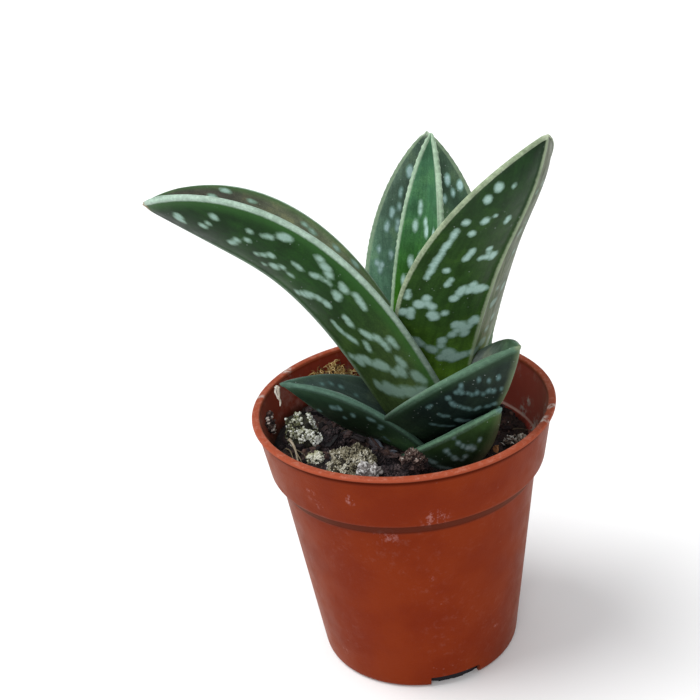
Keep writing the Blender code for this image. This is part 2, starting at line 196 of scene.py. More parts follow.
def ring_faces(rings, sides):
    """Four-sided faces between rings of points that close on themselves, ring after ring."""
    ring = np.arange(rings - 1)[:, None] * sides
    side = np.arange(sides)[None, :]
    after = (side + 1) % sides
    corners = [ring + side, ring + after, ring + sides + after, ring + sides + side]
    return np.stack(corners, axis=-1).reshape(-1, 4)


def capped_triangles(rings, sides):
    """Three-sided faces over rings that one point closes at each end; both points follow the last ring."""
    quads = ring_faces(rings, sides)
    side = np.arange(sides)
    after = (side + 1) % sides
    last_ring = (rings - 1) * sides
    first_point = np.full(sides, rings * sides)
    return np.concatenate([
        quads[:, [0, 1, 2]], quads[:, [0, 2, 3]],
        np.stack([first_point, after, side], axis=1),
        np.stack([first_point + 1, last_ring + side, last_ring + after], axis=1)])


def mesh_of(name, points, faces, caps=()):
    """A smooth mesh from points in metres, an array of four-sided faces and a few caps of any size."""
    mesh = bpy.data.meshes.new(name)
    mesh.from_pydata(points.tolist(), [], [*faces.tolist(), *(list(cap) for cap in caps)])
    mesh.shade_smooth()
    return mesh


def at_corners(mesh, values):
    """The numbers given at each point, repeated at every corner of every face, in one row."""
    corner = np.empty(len(mesh.loops), dtype=np.int64)
    mesh.loops.foreach_get("vertex_index", corner)
    return values[corner].ravel()


def store_at_corners(mesh, name, values):
    """Puts four numbers at every corner under a name, so that later cuts keep them."""
    stored = mesh.color_attributes.new(name, "FLOAT_COLOR", "CORNER")
    stored.data.foreach_set("color", at_corners(mesh, values))


def facing_out(mesh):
    """The closed mesh with all its faces turned outwards."""
    work = bmesh.new()
    work.from_mesh(mesh)
    bmesh.ops.recalc_face_normals(work, faces=work.faces)
    work.to_mesh(mesh)
    work.free()
    return mesh


def piece_of(name, mesh, finish, stands_for=()):
    """Makes an object at the origin that rides on the body, with its finish and the nodes it stands for."""
    thing = linked(name, mesh)
    mesh.materials.clear()
    mesh.materials.append(finish)
    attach(thing, "root")
    if stands_for:
        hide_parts(*stands_for)
    print(name, "faces:", len(mesh.polygons))


print("faces between 3 rings of 8 points:", len(ring_faces(3, 8)))

# %% [markdown]
# ## Tools for finishes
#
# A finish is a small tree of nodes round one Principled shader. The bench below keeps such a tree and
# has one short method for each kind of node that the lesson uses. Patterns read the object's own
# coordinates, or values that were stored on the mesh, so they stay on the piece from every side.

# %% The finish bench

class Bench:
    """One finish being made: its node tree, its shader and the nodes used for patterns."""

    def __init__(self, name, **fixed):
        """A new finish; the fixed values go straight to the shader's own sockets."""
        self.material = bpy.data.materials.new(name)
        self.material.use_nodes = True
        self.tree = self.material.node_tree
        self.shader = self.tree.nodes["Principled BSDF"]
        self.place = self.node("TexCoord").outputs["Object"]
        for words, value in fixed.items():
            self.shader.inputs[words.replace("_", " ")].default_value = value

    def node(self, kind):
        """A new node of a kind."""
        return self.tree.nodes.new("ShaderNode" + kind)

    def feed(self, socket, value):
        """Links a socket, or sets its value; a colour of three numbers gets its fourth."""
        if isinstance(value, bpy.types.NodeSocket):
            self.tree.links.new(value, socket)
        elif isinstance(value, tuple) and len(value) == 3 and socket.type == "RGBA":
            socket.default_value = (*value, 1.0)
        else:
            socket.default_value = value

    def maths(self, operation, first, second=0.0, third=0.0):
        """One operation on up to three values; MULTIPLY_ADD is first·second + third."""
        node = self.node("Math")
        node.operation = operation
        for socket, value in zip(node.inputs, (first, second, third)):
            self.feed(socket, value)
        return node.outputs[0]

    def times(self, *values):
        """The product of all the values."""
        product = values[0]
        for value in values[1:]:
            product = self.maths("MULTIPLY", product, value)
        return product

    def step(self, value, low, high, start=0.0, end=1.0):
        """Goes smoothly from start to end while the value goes from low to high."""
        node = self.node("MapRange")
        node.interpolation_type = "SMOOTHSTEP"
        given = {"Value": value, "From Min": low, "From Max": high, "To Min": start, "To Max": end}
        for words, number in given.items():
            self.feed(node.inputs[words], number)
        return node.outputs[0]

    def stretched(self, x, y, z, source=None):
        """The coordinates scaled by three numbers, which squeezes or stretches what reads them."""
        node = self.node("Mapping")
        self.feed(node.inputs["Vector"], source or self.place)
        node.inputs["Scale"].default_value = (x, y, z)
        return node.outputs[0]

    def noise(self, scale, detail=3.0, roughness=0.55, source=None):
        """Soft noise round 0.5, with the scale in waves to a metre or to a unit of the source."""
        node = self.node("TexNoise")
        self.feed(node.inputs["Vector"], source or self.place)
        node.inputs["Scale"].default_value = scale
        node.inputs["Detail"].default_value = detail
        node.inputs["Roughness"].default_value = roughness
        return node.outputs["Fac"]

    def patches(self, noise, *limits):
        """Patches where the noise of those settings goes past the limits, as in a step."""
        return self.step(self.noise(*noise), *limits)

    def specks(self, scale, size, noise, limits):
        """Dots round scattered points, fading over two distances from them, in patches of noise."""
        node = self.node("TexVoronoi")
        self.feed(node.inputs["Vector"], self.place)
        node.inputs["Scale"].default_value = scale
        return self.times(self.step(node.outputs["Distance"], *size), self.patches(noise, *limits))

    def mix(self, share, first, second, mode="MIX"):
        """The first colour where the share is 0 and the second where it is 1, or their product by mode."""
        node = self.node("Mix")
        node.data_type = "RGBA"
        node.blend_type = mode
        share_socket, first_colour, second_colour = node.inputs[0], node.inputs[6], node.inputs[7]
        self.feed(share_socket, share)
        self.feed(first_colour, first)
        self.feed(second_colour, second)
        return node.outputs[2]

    def paint(self, under, over, *shares):
        """One colour with another laid over it, as strongly as the product of the shares."""
        return self.mix(self.times(*shares), under, over)

    def tinted(self, colour, factors):
        """The colour with its red, green and blue each multiplied by a factor."""
        return self.mix(1.0, colour, factors, "MULTIPLY")

    def shade(self, value):
        """A grey as bright as the value."""
        node = self.node("CombineXYZ")
        for socket in node.inputs:
            self.feed(socket, value)
        return node.outputs[0]

    def split(self, source=None):
        """The three numbers of a vector, apart."""
        node = self.node("SeparateXYZ")
        self.feed(node.inputs[0], source or self.place)
        return node.outputs

    def far_from(self, point):
        """The distance in metres from a point in millimetres."""
        node = self.node("VectorMath")
        node.operation = "DISTANCE"
        self.feed(node.inputs[0], self.place)
        node.inputs[1].default_value = tuple(value * MM for value in point)
        return node.outputs["Value"]

    def stored(self, name):
        """The first three numbers stored under a name at the mesh's corners."""
        node = self.node("Attribute")
        node.attribute_name = name
        return self.split(node.outputs["Color"])

    def relief(self, height, metres, strength, under=None):
        """Bumps as deep as the given metres where the height is 1, over those below them."""
        node = self.node("Bump")
        node.inputs["Strength"].default_value = strength
        node.inputs["Distance"].default_value = metres
        self.feed(node.inputs["Height"], height)
        if under is not None:
            self.feed(node.inputs["Normal"], under)
        return node.outputs[0]

    def done(self, colour, roughness, normal):
        """The finish, with its colour, roughness and bumps joined to the shader."""
        for words, value in (("Base Color", colour), ("Roughness", roughness), ("Normal", normal)):
            if value is not None:
                self.feed(self.shader.inputs[words], value)
        return self.material


def tone(red, green, blue):
    """A screen colour from 0 to 255 as amounts of light: s/12.92 if dark, else ((s + 0.055)/1.055)^2.4."""
    seen = np.array([red, green, blue]) / 255
    light = np.where(seen <= 0.04045, seen / 12.92, ((seen + 0.055) / 1.055) ** 2.4)
    return tuple(float(value) for value in light)


print("a mid green in shader terms:", np.round(tone(60, 100, 50), 3))

# %% [markdown]
# ## The pot
#
# The pot is blown or pressed from thin brown-red plastic: a tapered cup, a step a quarter of the way
# down, a straight collar above it and a narrow rounded lip. It could be spun with a Screw modifier, but
# a profile carried round as arrays lets each corner have its own round and keeps the mesh even. Three
# notches in the foot, cut afterwards, let the water out.

# %% Pot profile
POT_HEIGHT = 50.4
POT_FLOOR = 1.3
POT_SPOKES = 256
POT_OUTSIDE = (  # radius and height of each corner and how far its round reaches, in mm
    (0.5, 0.0, 0.0), (18.3, 0.0, 1.0), (18.62, 1.4, 0.5), (23.45, 37.3, 0.5), (25.2, 39.7, 0.5),
    (26.82, 49.45, 0.15), (27.5, 49.75, 0.2), (27.5, POT_HEIGHT, 0.42),
)
POT_INSIDE = (
    (26.1, POT_HEIGHT, 0.35), (25.98, 49.2, 0.6), (24.35, 40.1, 0.4), (22.6, 37.7, 0.4),
    (17.65, POT_FLOOR, 1.0), (0.5, POT_FLOOR, 0.0),
)
ROUND_STEPS = 7


def rounded_line(corners):
    """A line of (radius, height) whose corners are curves (1-t)²·before + 2t(1-t)·corner + t²·after."""
    corners = np.array(corners)
    middle, reach = corners[1:-1, :2], corners[1:-1, 2:]
    before, after = corners[:-2, :2] - middle, corners[2:, :2] - middle
    before = middle + reach * before / np.linalg.norm(before, axis=1, keepdims=True)
    after = middle + reach * after / np.linalg.norm(after, axis=1, keepdims=True)
    t = np.linspace(0, 1, ROUND_STEPS)[None, :, None]
    curve = (1 - t) ** 2 * before[:, None] + 2 * t * (1 - t) * middle[:, None] + t ** 2 * after[:, None]
    return np.vstack([corners[:1, :2], curve.reshape(-1, 2), corners[-1:, :2]])


def turned(profile, spokes):
    """The profile (radius, height) carried round the upright: (radius·cos, radius·sin, height)."""
    angle = 2 * np.pi * np.arange(spokes) / spokes
    radius, height = profile[:, :1], profile[:, 1:]
    rings = np.stack([radius * np.cos(angle), radius * np.sin(angle), height + 0 * angle], axis=-1)
    return rings.reshape(-1, 3)


pot_line = rounded_line(POT_OUTSIDE + POT_INSIDE)
pot_points = turned(pot_line, POT_SPOKES) * MM
pot_faces = ring_faces(len(pot_line), POT_SPOKES)
first_cap = range(POT_SPOKES)
last_cap = range((len(pot_line) - 1) * POT_SPOKES, len(pot_line) * POT_SPOKES)
print("pot profile:", len(pot_line), "points; rings of", POT_SPOKES)

# %% [markdown]
# ## Cutting
#
# A Boolean takes one closed body from another. The cutter is thrown away once the result is the
# piece's own mesh, so nothing live is left on it.

# %% Cutting helper

def cut_mesh(mesh, cutters):
    """The mesh less all the cutter meshes, one Boolean after another."""
    piece = linked("being_cut", mesh)
    helpers = [linked(f"cutter_{number}", cutter) for number, cutter in enumerate(cutters)]
    for helper in helpers:
        change = piece.modifiers.new("cut", "BOOLEAN")
        change.solver = "MANIFOLD"
        change.object = helper
    bpy.context.view_layer.update()
    result = bpy.data.meshes.new_from_object(piece.evaluated_get(bpy.context.evaluated_depsgraph_get()))
    for thing in [piece, *helpers]:
        bpy.data.objects.remove(thing)
    print(mesh.name, "cut by", len(cutters), "bodies, faces:", len(result.polygons))
    return result


def largest_body(mesh):
    """The mesh less loose scraps: each point takes the lowest number in its body, passed along edges."""
    edges = np.empty(2 * len(mesh.edges), dtype=np.int64)
    mesh.edges.foreach_get("vertices", edges)
    a, b = edges.reshape(-1, 2).T
    label = np.arange(len(mesh.vertices))
    while True:
        low = np.minimum(label[a], label[b])
        new = label.copy()
        np.minimum.at(new, a, low)
        np.minimum.at(new, b, low)
        new = new[new]
        if (new == label).all():
            break
        label = new
    keep = label == np.bincount(label).argmax()
    if keep.all():
        return mesh
    work = bmesh.new()
    work.from_mesh(mesh)
    work.verts.ensure_lookup_table()
    bmesh.ops.delete(work, geom=[work.verts[int(i)] for i in np.flatnonzero(~keep)], context="VERTS")
    work.to_mesh(mesh)
    work.free()
    return mesh


# %% Notches in the foot
NOTCH_BEARINGS = (-72, 50, 170)
NOTCH_SIZE = (6.0, 9.6, 4.4)
NOTCH_REACH = 17.5
POT_SHARP_ANGLE = 40
BRICK_FACES = np.array([[0, 1, 3, 2], [4, 6, 7, 5], [0, 4, 5, 1], [2, 3, 7, 6], [0, 2, 6, 4], [1, 5, 7, 3]])


def brick(size, bearing, reach):
    """A block of that size, its middle at that reach from the upright, turned to the bearing."""
    half = np.array(size) / 2
    corner = np.array([[x, y, z] for x in (-1, 1) for y in (-1, 1) for z in (-1, 1)]) * half + (reach, 0, 0)
    angle = np.radians(bearing)
    x = corner[:, 0] * np.cos(angle) - corner[:, 1] * np.sin(angle)
    y = corner[:, 0] * np.sin(angle) + corner[:, 1] * np.cos(angle)
    return facing_out(mesh_of("brick", np.stack([x, y, corner[:, 2]], axis=1) * MM, BRICK_FACES))


pot_mesh = facing_out(mesh_of("pot_shell", pot_points, pot_faces, (first_cap, last_cap)))
pot_numbers = np.zeros((len(pot_line), 4))
pot_numbers[1 + (len(POT_OUTSIDE) - 1) * ROUND_STEPS:, 0] = 1  # 1 on the inside, 0 on the outside
pot_numbers[:, 3] = 1
store_at_corners(pot_mesh, "pot_numbers", np.repeat(pot_numbers, POT_SPOKES, axis=0))
pot_mesh = cut_mesh(pot_mesh, [brick(NOTCH_SIZE, bearing, NOTCH_REACH) for bearing in NOTCH_BEARINGS])
pot_mesh.set_sharp_from_angle(angle=np.radians(POT_SHARP_ANGLE))

# %% [markdown]
# ## The pot's plastic
#
# Cheap pot plastic is a strong brown-red with a matt, finely grained skin. Round the sides it takes a
# greyish bloom from the bright room, which the shader makes by itself from its roughness. Watering
# leaves white lime on the lip and on the ledge inside, handling leaves short pale scuffs, and soil
# dust darkens the inside wall. Light and shade are painted on as well: shade in the creases under the
# lip and below the step, a highlight on the lip and along its worn top edge, and light on the right
# of the inner wall.

# %% Pot finish
POT_RED = tone(121, 42, 11)
POT_DEEP = tone(112, 35, 9)
POT_LAYERS = {  # what lies over the plastic, from the lowest up: its tone on a screen and its strength
    "inside": ((140, 58, 46), 0.6),
    # painted light on the right side of the inner wall
    "painted light inside": ((200, 96, 84), 0.5),
    # painted highlight: the lip band is painted lighter than the wall
    "lip": ((158, 76, 52), 0.8),
    # pale wear along the lip's top edge, partly a painted highlight
    "worn lip and highlight": ((196, 138, 120), 0.32),
    "dust": ((196, 170, 160), 0.06),
    "scuffs": ((190, 140, 136), 0.5),
    "specks": ((205, 180, 170), 0.05),
    # painted shade in the creases under the lip and below the step
    "painted crease shade": ((66, 12, 0), 0.85),
    "film": ((176, 140, 130), 0.35),
    "slope": ((150, 52, 44), 0.6),
    "ledge": ((232, 188, 176), 0.95),
    "lime": ((214, 205, 198), 0.8),
    "soil": ((46, 26, 20), 0.75),
}
SCUFFS = (  # place in mm and how far each scuff reaches
    ((-16.8, -19.8, 44.2), 1.9), ((-15.6, -20.4, 42.4), 1.5), ((-10.2, -24.1, 45.2), 1.6),
    ((3.9, -25.0, 40.6), 3.2), ((-4.9, -22.9, 37.0), 3.2), ((2.2, -21.9, 26.5), 0.9),
    ((-14.8, -16.5, 27.5), 0.8), ((-13.5, -17.4, 26.3), 0.9), ((13.7, -14.3, 10.0), 1.0),
    ((-14.6, -12.4, 5.2), 1.2),
)
LIME_SPOTS = (
    ((24.6, 2.6, 41.6), 2.6), ((24.2, -0.6, 40.3), 3.0), ((23.4, 4.2, 40.4), 2.2), ((25.4, -1.5, 46.3), 2.4),
    ((23.9, -11.0, 50.3), 1.9), ((-21.9, 16.0, 50.2), 1.7), ((-26.6, 6.0, 50.2), 1.5),
    ((22.6, 9.6, 41.2), 1.6), ((23.4, 8.4, 43.6), 1.3), ((25.9, -6.3, 50.3), 1.7),
)


def near_any(bench, places):
    """1 within a quarter of a place's reach, falling to 0 at its whole reach; the greatest counts."""
    near = [
        bench.step(bench.far_from(place), 0.25 * reach * MM, reach * MM, 1.0, 0.0)
        for place, reach in places]
    greatest = near[0]
    for other in near[1:]:
        greatest = bench.maths("MAXIMUM", greatest, other)
    return greatest


def pot_shares(bench):
    """Where each layer lies, from 0 to 1: steps in the height z and in x, both in mm, times noise."""
    x, z = (bench.times(bench.split()[axis], 1 / MM) for axis in (0, 2))
    within = bench.stored("pot_numbers")[0]
    inside = bench.times(bench.step(within, 0.4, 0.6), bench.step(z, 50.2, 49.2))
    lip = bench.step(z, 49.8, 49.95)
    below_step = bench.times(bench.step(z, 39.75, 39.4), bench.step(z, 36.8, 37.6))
    below_lip = bench.times(bench.step(z, 49.95, 49.8), bench.step(z, 48.4, 49.2))
    streaks = bench.noise(1.0, 5, 0.7, bench.stretched(900, 900, 650))
    lime = bench.times(near_any(bench, LIME_SPOTS), bench.patches((900, 5, 0.7), 0.42, 0.6))
    ledge = bench.times(bench.step(z, 39.8, 40.1), bench.step(z, 40.6, 40.2), inside)
    ledge = bench.times(ledge, bench.patches((340, 3), 0.3, 0.6, 0.4, 1.0))
    above_soil = bench.maths("MULTIPLY_ADD", x, 0.09, z)
    above_soil = bench.maths("MULTIPLY_ADD", bench.noise(260, 4), 5.0, above_soil)
    off_ledge = bench.maths("MULTIPLY_ADD", ledge, -0.7, 1.0)
    return {
        "inside": inside,
        "painted light inside": bench.times(inside, bench.step(x, 4, 17)),
        "lip": lip,
        "worn lip and highlight": bench.times(bench.step(z, 50.1, 50.3), bench.patches((900, 5, 0.75), 0.46, 0.66)),
        "dust": bench.times(bench.patches((700, 3, 0.7), 0.5, 0.8), bench.patches((60, 2), 0.42, 0.72)),
        "scuffs": bench.times(near_any(bench, SCUFFS), bench.step(streaks, 0.5, 0.68)),
        "specks": bench.specks(620, (0.16, 0.09), (150, 2), (0.6, 0.68)),
        # painted shade: the creases under the lip and below the step
        "painted crease shade": bench.times(bench.maths("MAXIMUM", below_step, below_lip), bench.step(within, 0.6, 0.4)),
        "film": bench.times(inside, bench.patches((210, 5, 0.7), 0.52, 0.72)),
        "slope": bench.times(inside, bench.step(z, 40.0, 39.6)),
        "ledge": ledge,
        "lime": bench.times(lime, bench.maths("MAXIMUM", inside, lip)),
        "soil": bench.times(inside, bench.step(above_soil, 44.8, 42.8), off_ledge),
    }


def pot_finish():
    """The plastic's two reds, then every layer over them; lime, soil and the painted crease shade are matt,
    lime is raised.
    """
    bench = Bench("pot_plastic", Roughness=0.42, Specular_IOR_Level=0.035, Sheen_Weight=0.1,
                  Sheen_Roughness=0.4, Sheen_Tint=(1.0, 0.7, 0.5, 1.0))
    colour = bench.paint(POT_RED, POT_DEEP, bench.patches((95, 4), 0.35, 0.7))
    shares = pot_shares(bench)
    for layer, (seen, strength) in POT_LAYERS.items():
        colour = bench.paint(colour, tone(*seen), shares[layer], strength)
    matt = bench.times(bench.maths("MAXIMUM", shares["lime"], shares["soil"]), 0.85)
    rough = bench.maths("MAXIMUM", bench.patches((300, 4), 0.3, 0.75, 0.4, 0.56), matt)
    rough = bench.maths("MAXIMUM", rough, bench.times(shares["painted crease shade"], 0.95))
    grain = bench.relief(bench.noise(2600, 2), 0.00006, 0.5)
    waves = bench.relief(bench.noise(120, 2), 0.0006, 0.25, grain)
    crust = bench.maths("ADD", shares["lime"], bench.times(shares["scuffs"], 0.3))
    return bench.done(colour, rough, bench.relief(crust, 0.00015, 0.7, waves))


piece_of("pot_shell", pot_mesh, pot_finish(), ["pot"])

# %% [markdown]
# ## The leaves
#
# Each leaf is a thick blade folded like the hull of a boat: two faces meet in a keel below, and a
# shallow groove runs along the top. It could be sculpted or lofted from curves by hand. Here it is a
# function of two numbers instead: the share along the midline and the place round the section. That
# way the same numbers that shaped the simple solids shape the fine skin, and the skin knows at each of
# its points how far it lies from the margin, the keel and the pale marks.

# %% Leaf table
LEAVES = {  # oldest first: where each rises, its heading and lean in degrees, and its sizes in mm
    "leaf_low_front": dict(
        foot=(1.9, -0.2, 39.6), heading=-44, drift=-1, lean=(51.5, 54), length=25.9, half_width=7.3,
        foot_width=0.76, widest=0.35, taper=2.05, keel=(0.86, 1.14), roll=(-7.5, 3.5)),
    "leaf_low_left": dict(
        foot=(3.4, 1.6, 43.4), heading=194.5, drift=5, lean=(39.5, 78), ease=0.98, length=30.6,
        half_width=8.3, foot_width=0.98, widest=0.25, taper=1.92, keel=(0.82, 1.09), roll=(-12.5, 9.5)),
    "leaf_low_back": dict(
        foot=(3.6, 3.4, 42.6), heading=76, drift=0, lean=(46, 66), length=27.0, half_width=7.6,
        foot_width=0.92, widest=0.32, taper=2.0, keel=(0.85, 1.1), roll=(0, 0)),
    "leaf_low_right": dict(
        foot=(0.0, 2.0, 47.6), heading=-42, drift=-5, lean=(44, 63.5), length=35.0, half_width=10.5,
        foot_width=0.9, widest=0.35, taper=2.0, keel=(0.85, 1.17), roll=(2, 5)),
    "leaf_arching_left": dict(
        foot=(6.2, 1.3, 52.8), heading=168.5, drift=3.5, lean=(24, 112.4), ease=1.87, length=68.2,
        half_width=10.4, foot_width=0.83, widest=0.5, taper=3.4, blunt=0.76, keel=(1.23, 0.95),
        roll=(23.2, 12), skew=0.03),
    "leaf_broad_back": dict(
        foot=(5.3, 4.0, 47.1), heading=82.5, drift=-3, lean=(20.5, 26.5), length=49.9,
        half_width=11.95, foot_width=0.7, widest=0.36, taper=2.2, blunt=0.82, keel=(0.8, 0.8),
        roll=(-1, 6.1)),
    "leaf_broad_right": dict(
        foot=(9.2, 6.9, 46.5), heading=-72, drift=38.5, lean=(-9, 43), ease=0.54, length=62.6,
        half_width=13.05, foot_width=0.54, widest=0.53, taper=4.3, blunt=0.95, keel=(0.74, 0.36),
        roll=(4.9, -7.5), twist=(3.0, 0.81, 0.22), skew=0.09),
    "leaf_young": dict(
        foot=(1.4, 2.8, 48.8), heading=48, drift=-0.5, lean=(10, 15.8), length=49.0, half_width=5.5,
        foot_width=0.8, widest=0.37, taper=1.9, blunt=0.7, keel=(0.9, 0.9), roll=(-1, 8.7)),
}
print(len(LEAVES), "leaves, the longest", max(leaf["length"] for leaf in LEAVES.values()), "mm")

# %% [markdown]
# The midline bends as it rises: its lean from the upright goes from a first to a last value, its
# bearing drifts a little and the whole blade rolls about its own length. Adding up short steps along
# those directions gives the centre of each section.

# %% Leaf midline

def between(pair, shares):
    """From the first value at the foot to the last at the tip: first + (last - first)·share."""
    return pair[0] + (pair[1] - pair[0]) * shares


def midline(leaf, shares):
    """Centres and directions: lean goes by share^ease, bearing and roll evenly, then steps are added up."""
    lean = np.radians(between(leaf["lean"], shares ** leaf.get("ease", 1.0)))
    bearing = np.radians(leaf["heading"] + leaf["drift"] * shares)
    most, place, reach = leaf.get("twist", (0, 0, 1))
    roll = between(leaf["roll"], shares) + most * np.exp(-((shares - place) / reach) ** 2)
    roll = np.radians(roll)[:, None]
    level = np.stack([np.cos(bearing), np.sin(bearing), 0 * bearing], axis=1)
    up = np.array([0.0, 0.0, 1.0])
    along = np.sin(lean)[:, None] * level + np.cos(lean)[:, None] * up
    flat_across = np.stack([-np.sin(bearing), np.cos(bearing), 0 * bearing], axis=1)
    flat_inward = -np.cos(lean)[:, None] * level + np.sin(lean)[:, None] * up
    across = np.cos(roll) * flat_across + np.sin(roll) * flat_inward
    inward = np.cos(roll) * flat_inward - np.sin(roll) * flat_across
    steps = np.diff(shares)[:, None] * leaf["length"] * (along[1:] + along[:-1]) / 2
    centres = np.array(leaf["foot"]) + np.vstack([np.zeros(3), np.cumsum(steps, axis=0)])
    return centres, along, across, inward


young_tip = midline(LEAVES["leaf_young"], np.linspace(0, 1, 50))[0][-1]
print("the young leaf's midline ends at mm:", young_tip.round(1).tolist())

# %% Leaf width
TIP_HALF_WIDTH = 0.6
TIP_ROUND = 1.1
POINT_HALF_WIDTH = 0.14


def half_widths(leaf, shares):
    """Half the width in mm: a quarter sine up to the widest place, (1 - s^taper)^blunt down, a round end."""
    widest = leaf["widest"]
    rise = between((leaf["foot_width"], 1), np.sin(np.pi / 2 * np.clip(shares / widest, 0, 1)))
    down = np.clip((shares - widest) / (1 - widest), 0, 1)
    fall = (1 - down ** leaf["taper"]) ** leaf.get("blunt", 1.0)
    width = np.maximum(leaf["half_width"] * np.where(shares < widest, rise, fall), TIP_HALF_WIDTH)
    past = np.clip(1 - (1 - shares) * leaf["length"] / TIP_ROUND, 0, 1)
    return np.maximum(width * np.sqrt(1 - past ** 2), POINT_HALF_WIDTH)


widths = [2 * half_widths(leaf, np.linspace(0, 1, 50)).max() for leaf in LEAVES.values()]
print("the leaves' widths in mm:", np.round(widths, 1).tolist())

# %% [markdown]
# The section is drawn for its right half and mirrored. From the groove, the upper face runs out to the
# margin, which is a hard pale bead; round the bead the lower face swells a little and runs back to the
# keel. The flesh between the faces is a couple of millimetres thick.

# %% Leaf section
FLESH = 2.3
FLESH_SHARE = 0.42
FLESH_THINNING = 0.35  # how much thinner the flesh is at the margin than at the groove
BEAD = 0.42
KEEL_RIDGE = 0.4
RIDGE_REACH = 0.6
BEAD_SHARE = 0.45
GROOVE_ROUND = 0.16
FACE_SWELL = 0.09
KEEL_ROUND = 0.3
KEEL_FLAT = 0.08  # how far from the keel the swelling starts, as a share of the face
UPPER_SPACING = 0.9  # under 1, so the points crowd a little towards the margin
UPPER_POINTS = 27
BEAD_POINTS = 7
LOWER_POINTS = 38


def rounded_fold(share, bend):
    """A straight rise from 0 to 1 whose start is rounded: (sqrt(s² + b²) - b) / (sqrt(1 + b²) - b)."""
    return (np.sqrt(share ** 2 + bend ** 2) - bend) / (np.sqrt(1 + bend ** 2) - bend)


def upper_face(width, keel, bead, depth, rim, grow):
    """From the groove to the margin: a V with a rounded corner, lifted by the flesh above the lower face."""
    face = np.hypot(width, keel)
    flesh = np.minimum(FLESH, FLESH_SHARE * np.minimum(width, keel))
    u = np.linspace(0, 1, UPPER_POINTS)[None, :] ** UPPER_SPACING * (1 - (bead + grow) * keel / face / rim)
    thick = bead + (flesh * (1 - FLESH_THINNING * u) - bead) * (1 - u ** 5) + grow
    return u * rim, -depth * (1 - rounded_fold(u, GROOVE_ROUND)) + thick * face / width


def margin_bead(width, keel, bead, rim, grow, tooth):
    """Half a turn round the margin's middle, from the upper face to the lower; teeth push its edge out."""
    start = np.arctan2(width, -keel)
    angle = start - np.pi * np.linspace(0, 1, BEAD_POINTS + 2)[None, 1:-1]
    reach = bead + grow + tooth * np.maximum(np.cos(angle), 0) ** 3
    return rim + reach * np.cos(angle), reach * np.sin(angle)


def lower_face(width, keel, bead, ridge, depth, rim, grow):
    """From the margin to the keel: a straight run swollen by a half sine, with a small ridge at the keel."""
    face = np.hypot(width, keel)
    v = 1 - np.linspace(0, 1, LOWER_POINTS)[None, :]
    v = 0.75 * v + 0.25 * (1 - np.cos(np.pi * v)) / 2
    swell = face * FACE_SWELL * np.sin(np.pi * v) * (1 - np.exp(-(v / KEEL_FLAT) ** 2)) + bead * v ** 12
    swell = swell + grow * np.minimum(v / 0.1, 1)
    x = v * rim + keel / face * swell
    y = -depth * (1 - rounded_fold(v, KEEL_ROUND / rim)) - width / face * swell
    return x, y - (ridge + grow) * np.exp(-(v * rim / RIDGE_REACH) ** 2), v


def half_section(width, keel, grow, tooth):
    """Right halves of all sections: x and y, the reach from middle to margin and the side (upper 1)."""
    bead = np.minimum(BEAD, BEAD_SHARE * width)
    ridge = np.minimum(KEEL_RIDGE, BEAD_SHARE * width)
    rim, depth = width - bead, keel - ridge
    upper = upper_face(width, keel, bead, depth, rim, grow)
    edge = margin_bead(width, keel, bead, rim, grow, tooth)
    lower = lower_face(width, keel, bead, ridge, depth, rim, grow)
    x = np.concatenate([upper[0], edge[0], lower[0]], axis=1)
    y = np.concatenate([upper[1], edge[1], lower[1]], axis=1)
    upper_reach = np.linspace(0, 1, UPPER_POINTS) ** UPPER_SPACING
    reach = np.concatenate([upper_reach, np.ones(BEAD_POINTS), lower[2][0]])
    turn = 1 - np.linspace(0, 1, BEAD_POINTS + 2)[1:-1]
    side = np.concatenate([np.ones(UPPER_POINTS), turn, np.zeros(LOWER_POINTS)])
    return x, y, reach, side


print("points round a leaf:", 2 * (UPPER_POINTS + BEAD_POINTS + LOWER_POINTS) - 2)

# %% Leaf surface
STATION_SPACING = 0.3
TIP_CROWDING = 0.35
TOOTH_PITCH = 1.25
TOOTH_HALF = 0.3  # half a tooth's foot, in pitches
TEETH_FULL_FROM = 0.2
TEETH_SHIFTS = (0.3, 0.8)  # where the teeth of the right and the left margin start, in pitches


def stations(leaf, spacing):
    """Shares along the leaf: even, but closer towards the tip by mixing in a quarter sine."""
    t = np.linspace(0, 1, int(leaf["length"] / spacing))
    return (1 - TIP_CROWDING) * t + TIP_CROWDING * np.sin(np.pi * t / 2)


def teeth(leaf, shares, height, side_shift):
    """Small teeth along a margin: a sharp peak in each pitch, of its own height, fading at the foot."""
    place = shares * leaf["length"] / TOOTH_PITCH + side_shift
    own = 0.5 + 0.5 * lattice_chance(np.stack([np.floor(place), 0 * place, 0 * place], axis=1), side_shift)
    peak = np.maximum(1 - np.abs(place - np.floor(place) - 0.5) / TOOTH_HALF, 0)
    return (height * own * peak * np.clip(shares / TEETH_FULL_FROM, 0, 1))[:, None]


def leaf_surface(leaf, spacing=STATION_SPACING, grow=0.0, tooth=0.0):
    """The skin as a grid in mm: centre + across·x + inward·y, and its points' shares, reaches and sides."""
    shares = stations(leaf, spacing)
    centres, along, across, inward = midline(leaf, shares)
    width = half_widths(leaf, shares)[:, None]
    keel = width * between(leaf["keel"], shares[:, None])
    right, left = (
        half_section(width * (1 + sign * leaf.get("skew", 0)), keel, grow, teeth(leaf, shares, tooth, shift))
        for sign, shift in zip((-1, 1), TEETH_SHIFTS))
    x = np.concatenate([right[0], -left[0][:, -2:0:-1]], axis=1)[:, :, None]
    y = np.concatenate([right[1], left[1][:, -2:0:-1]], axis=1)[:, :, None]
    reach = np.concatenate([right[2], -right[2][-2:0:-1]])
    side = np.concatenate([right[3], right[3][-2:0:-1]])
    grid = centres[:, None] + across[:, None] * x + inward[:, None] * y
    return grid, shares, reach, side, np.hypot(width, keel)[:, 0], along, inward


trial = leaf_surface(LEAVES["leaf_broad_right"])[0]
print("grid of the broad right leaf:", trial.shape[:2], "reaching up to", trial[..., 2].max().round(1), "mm")
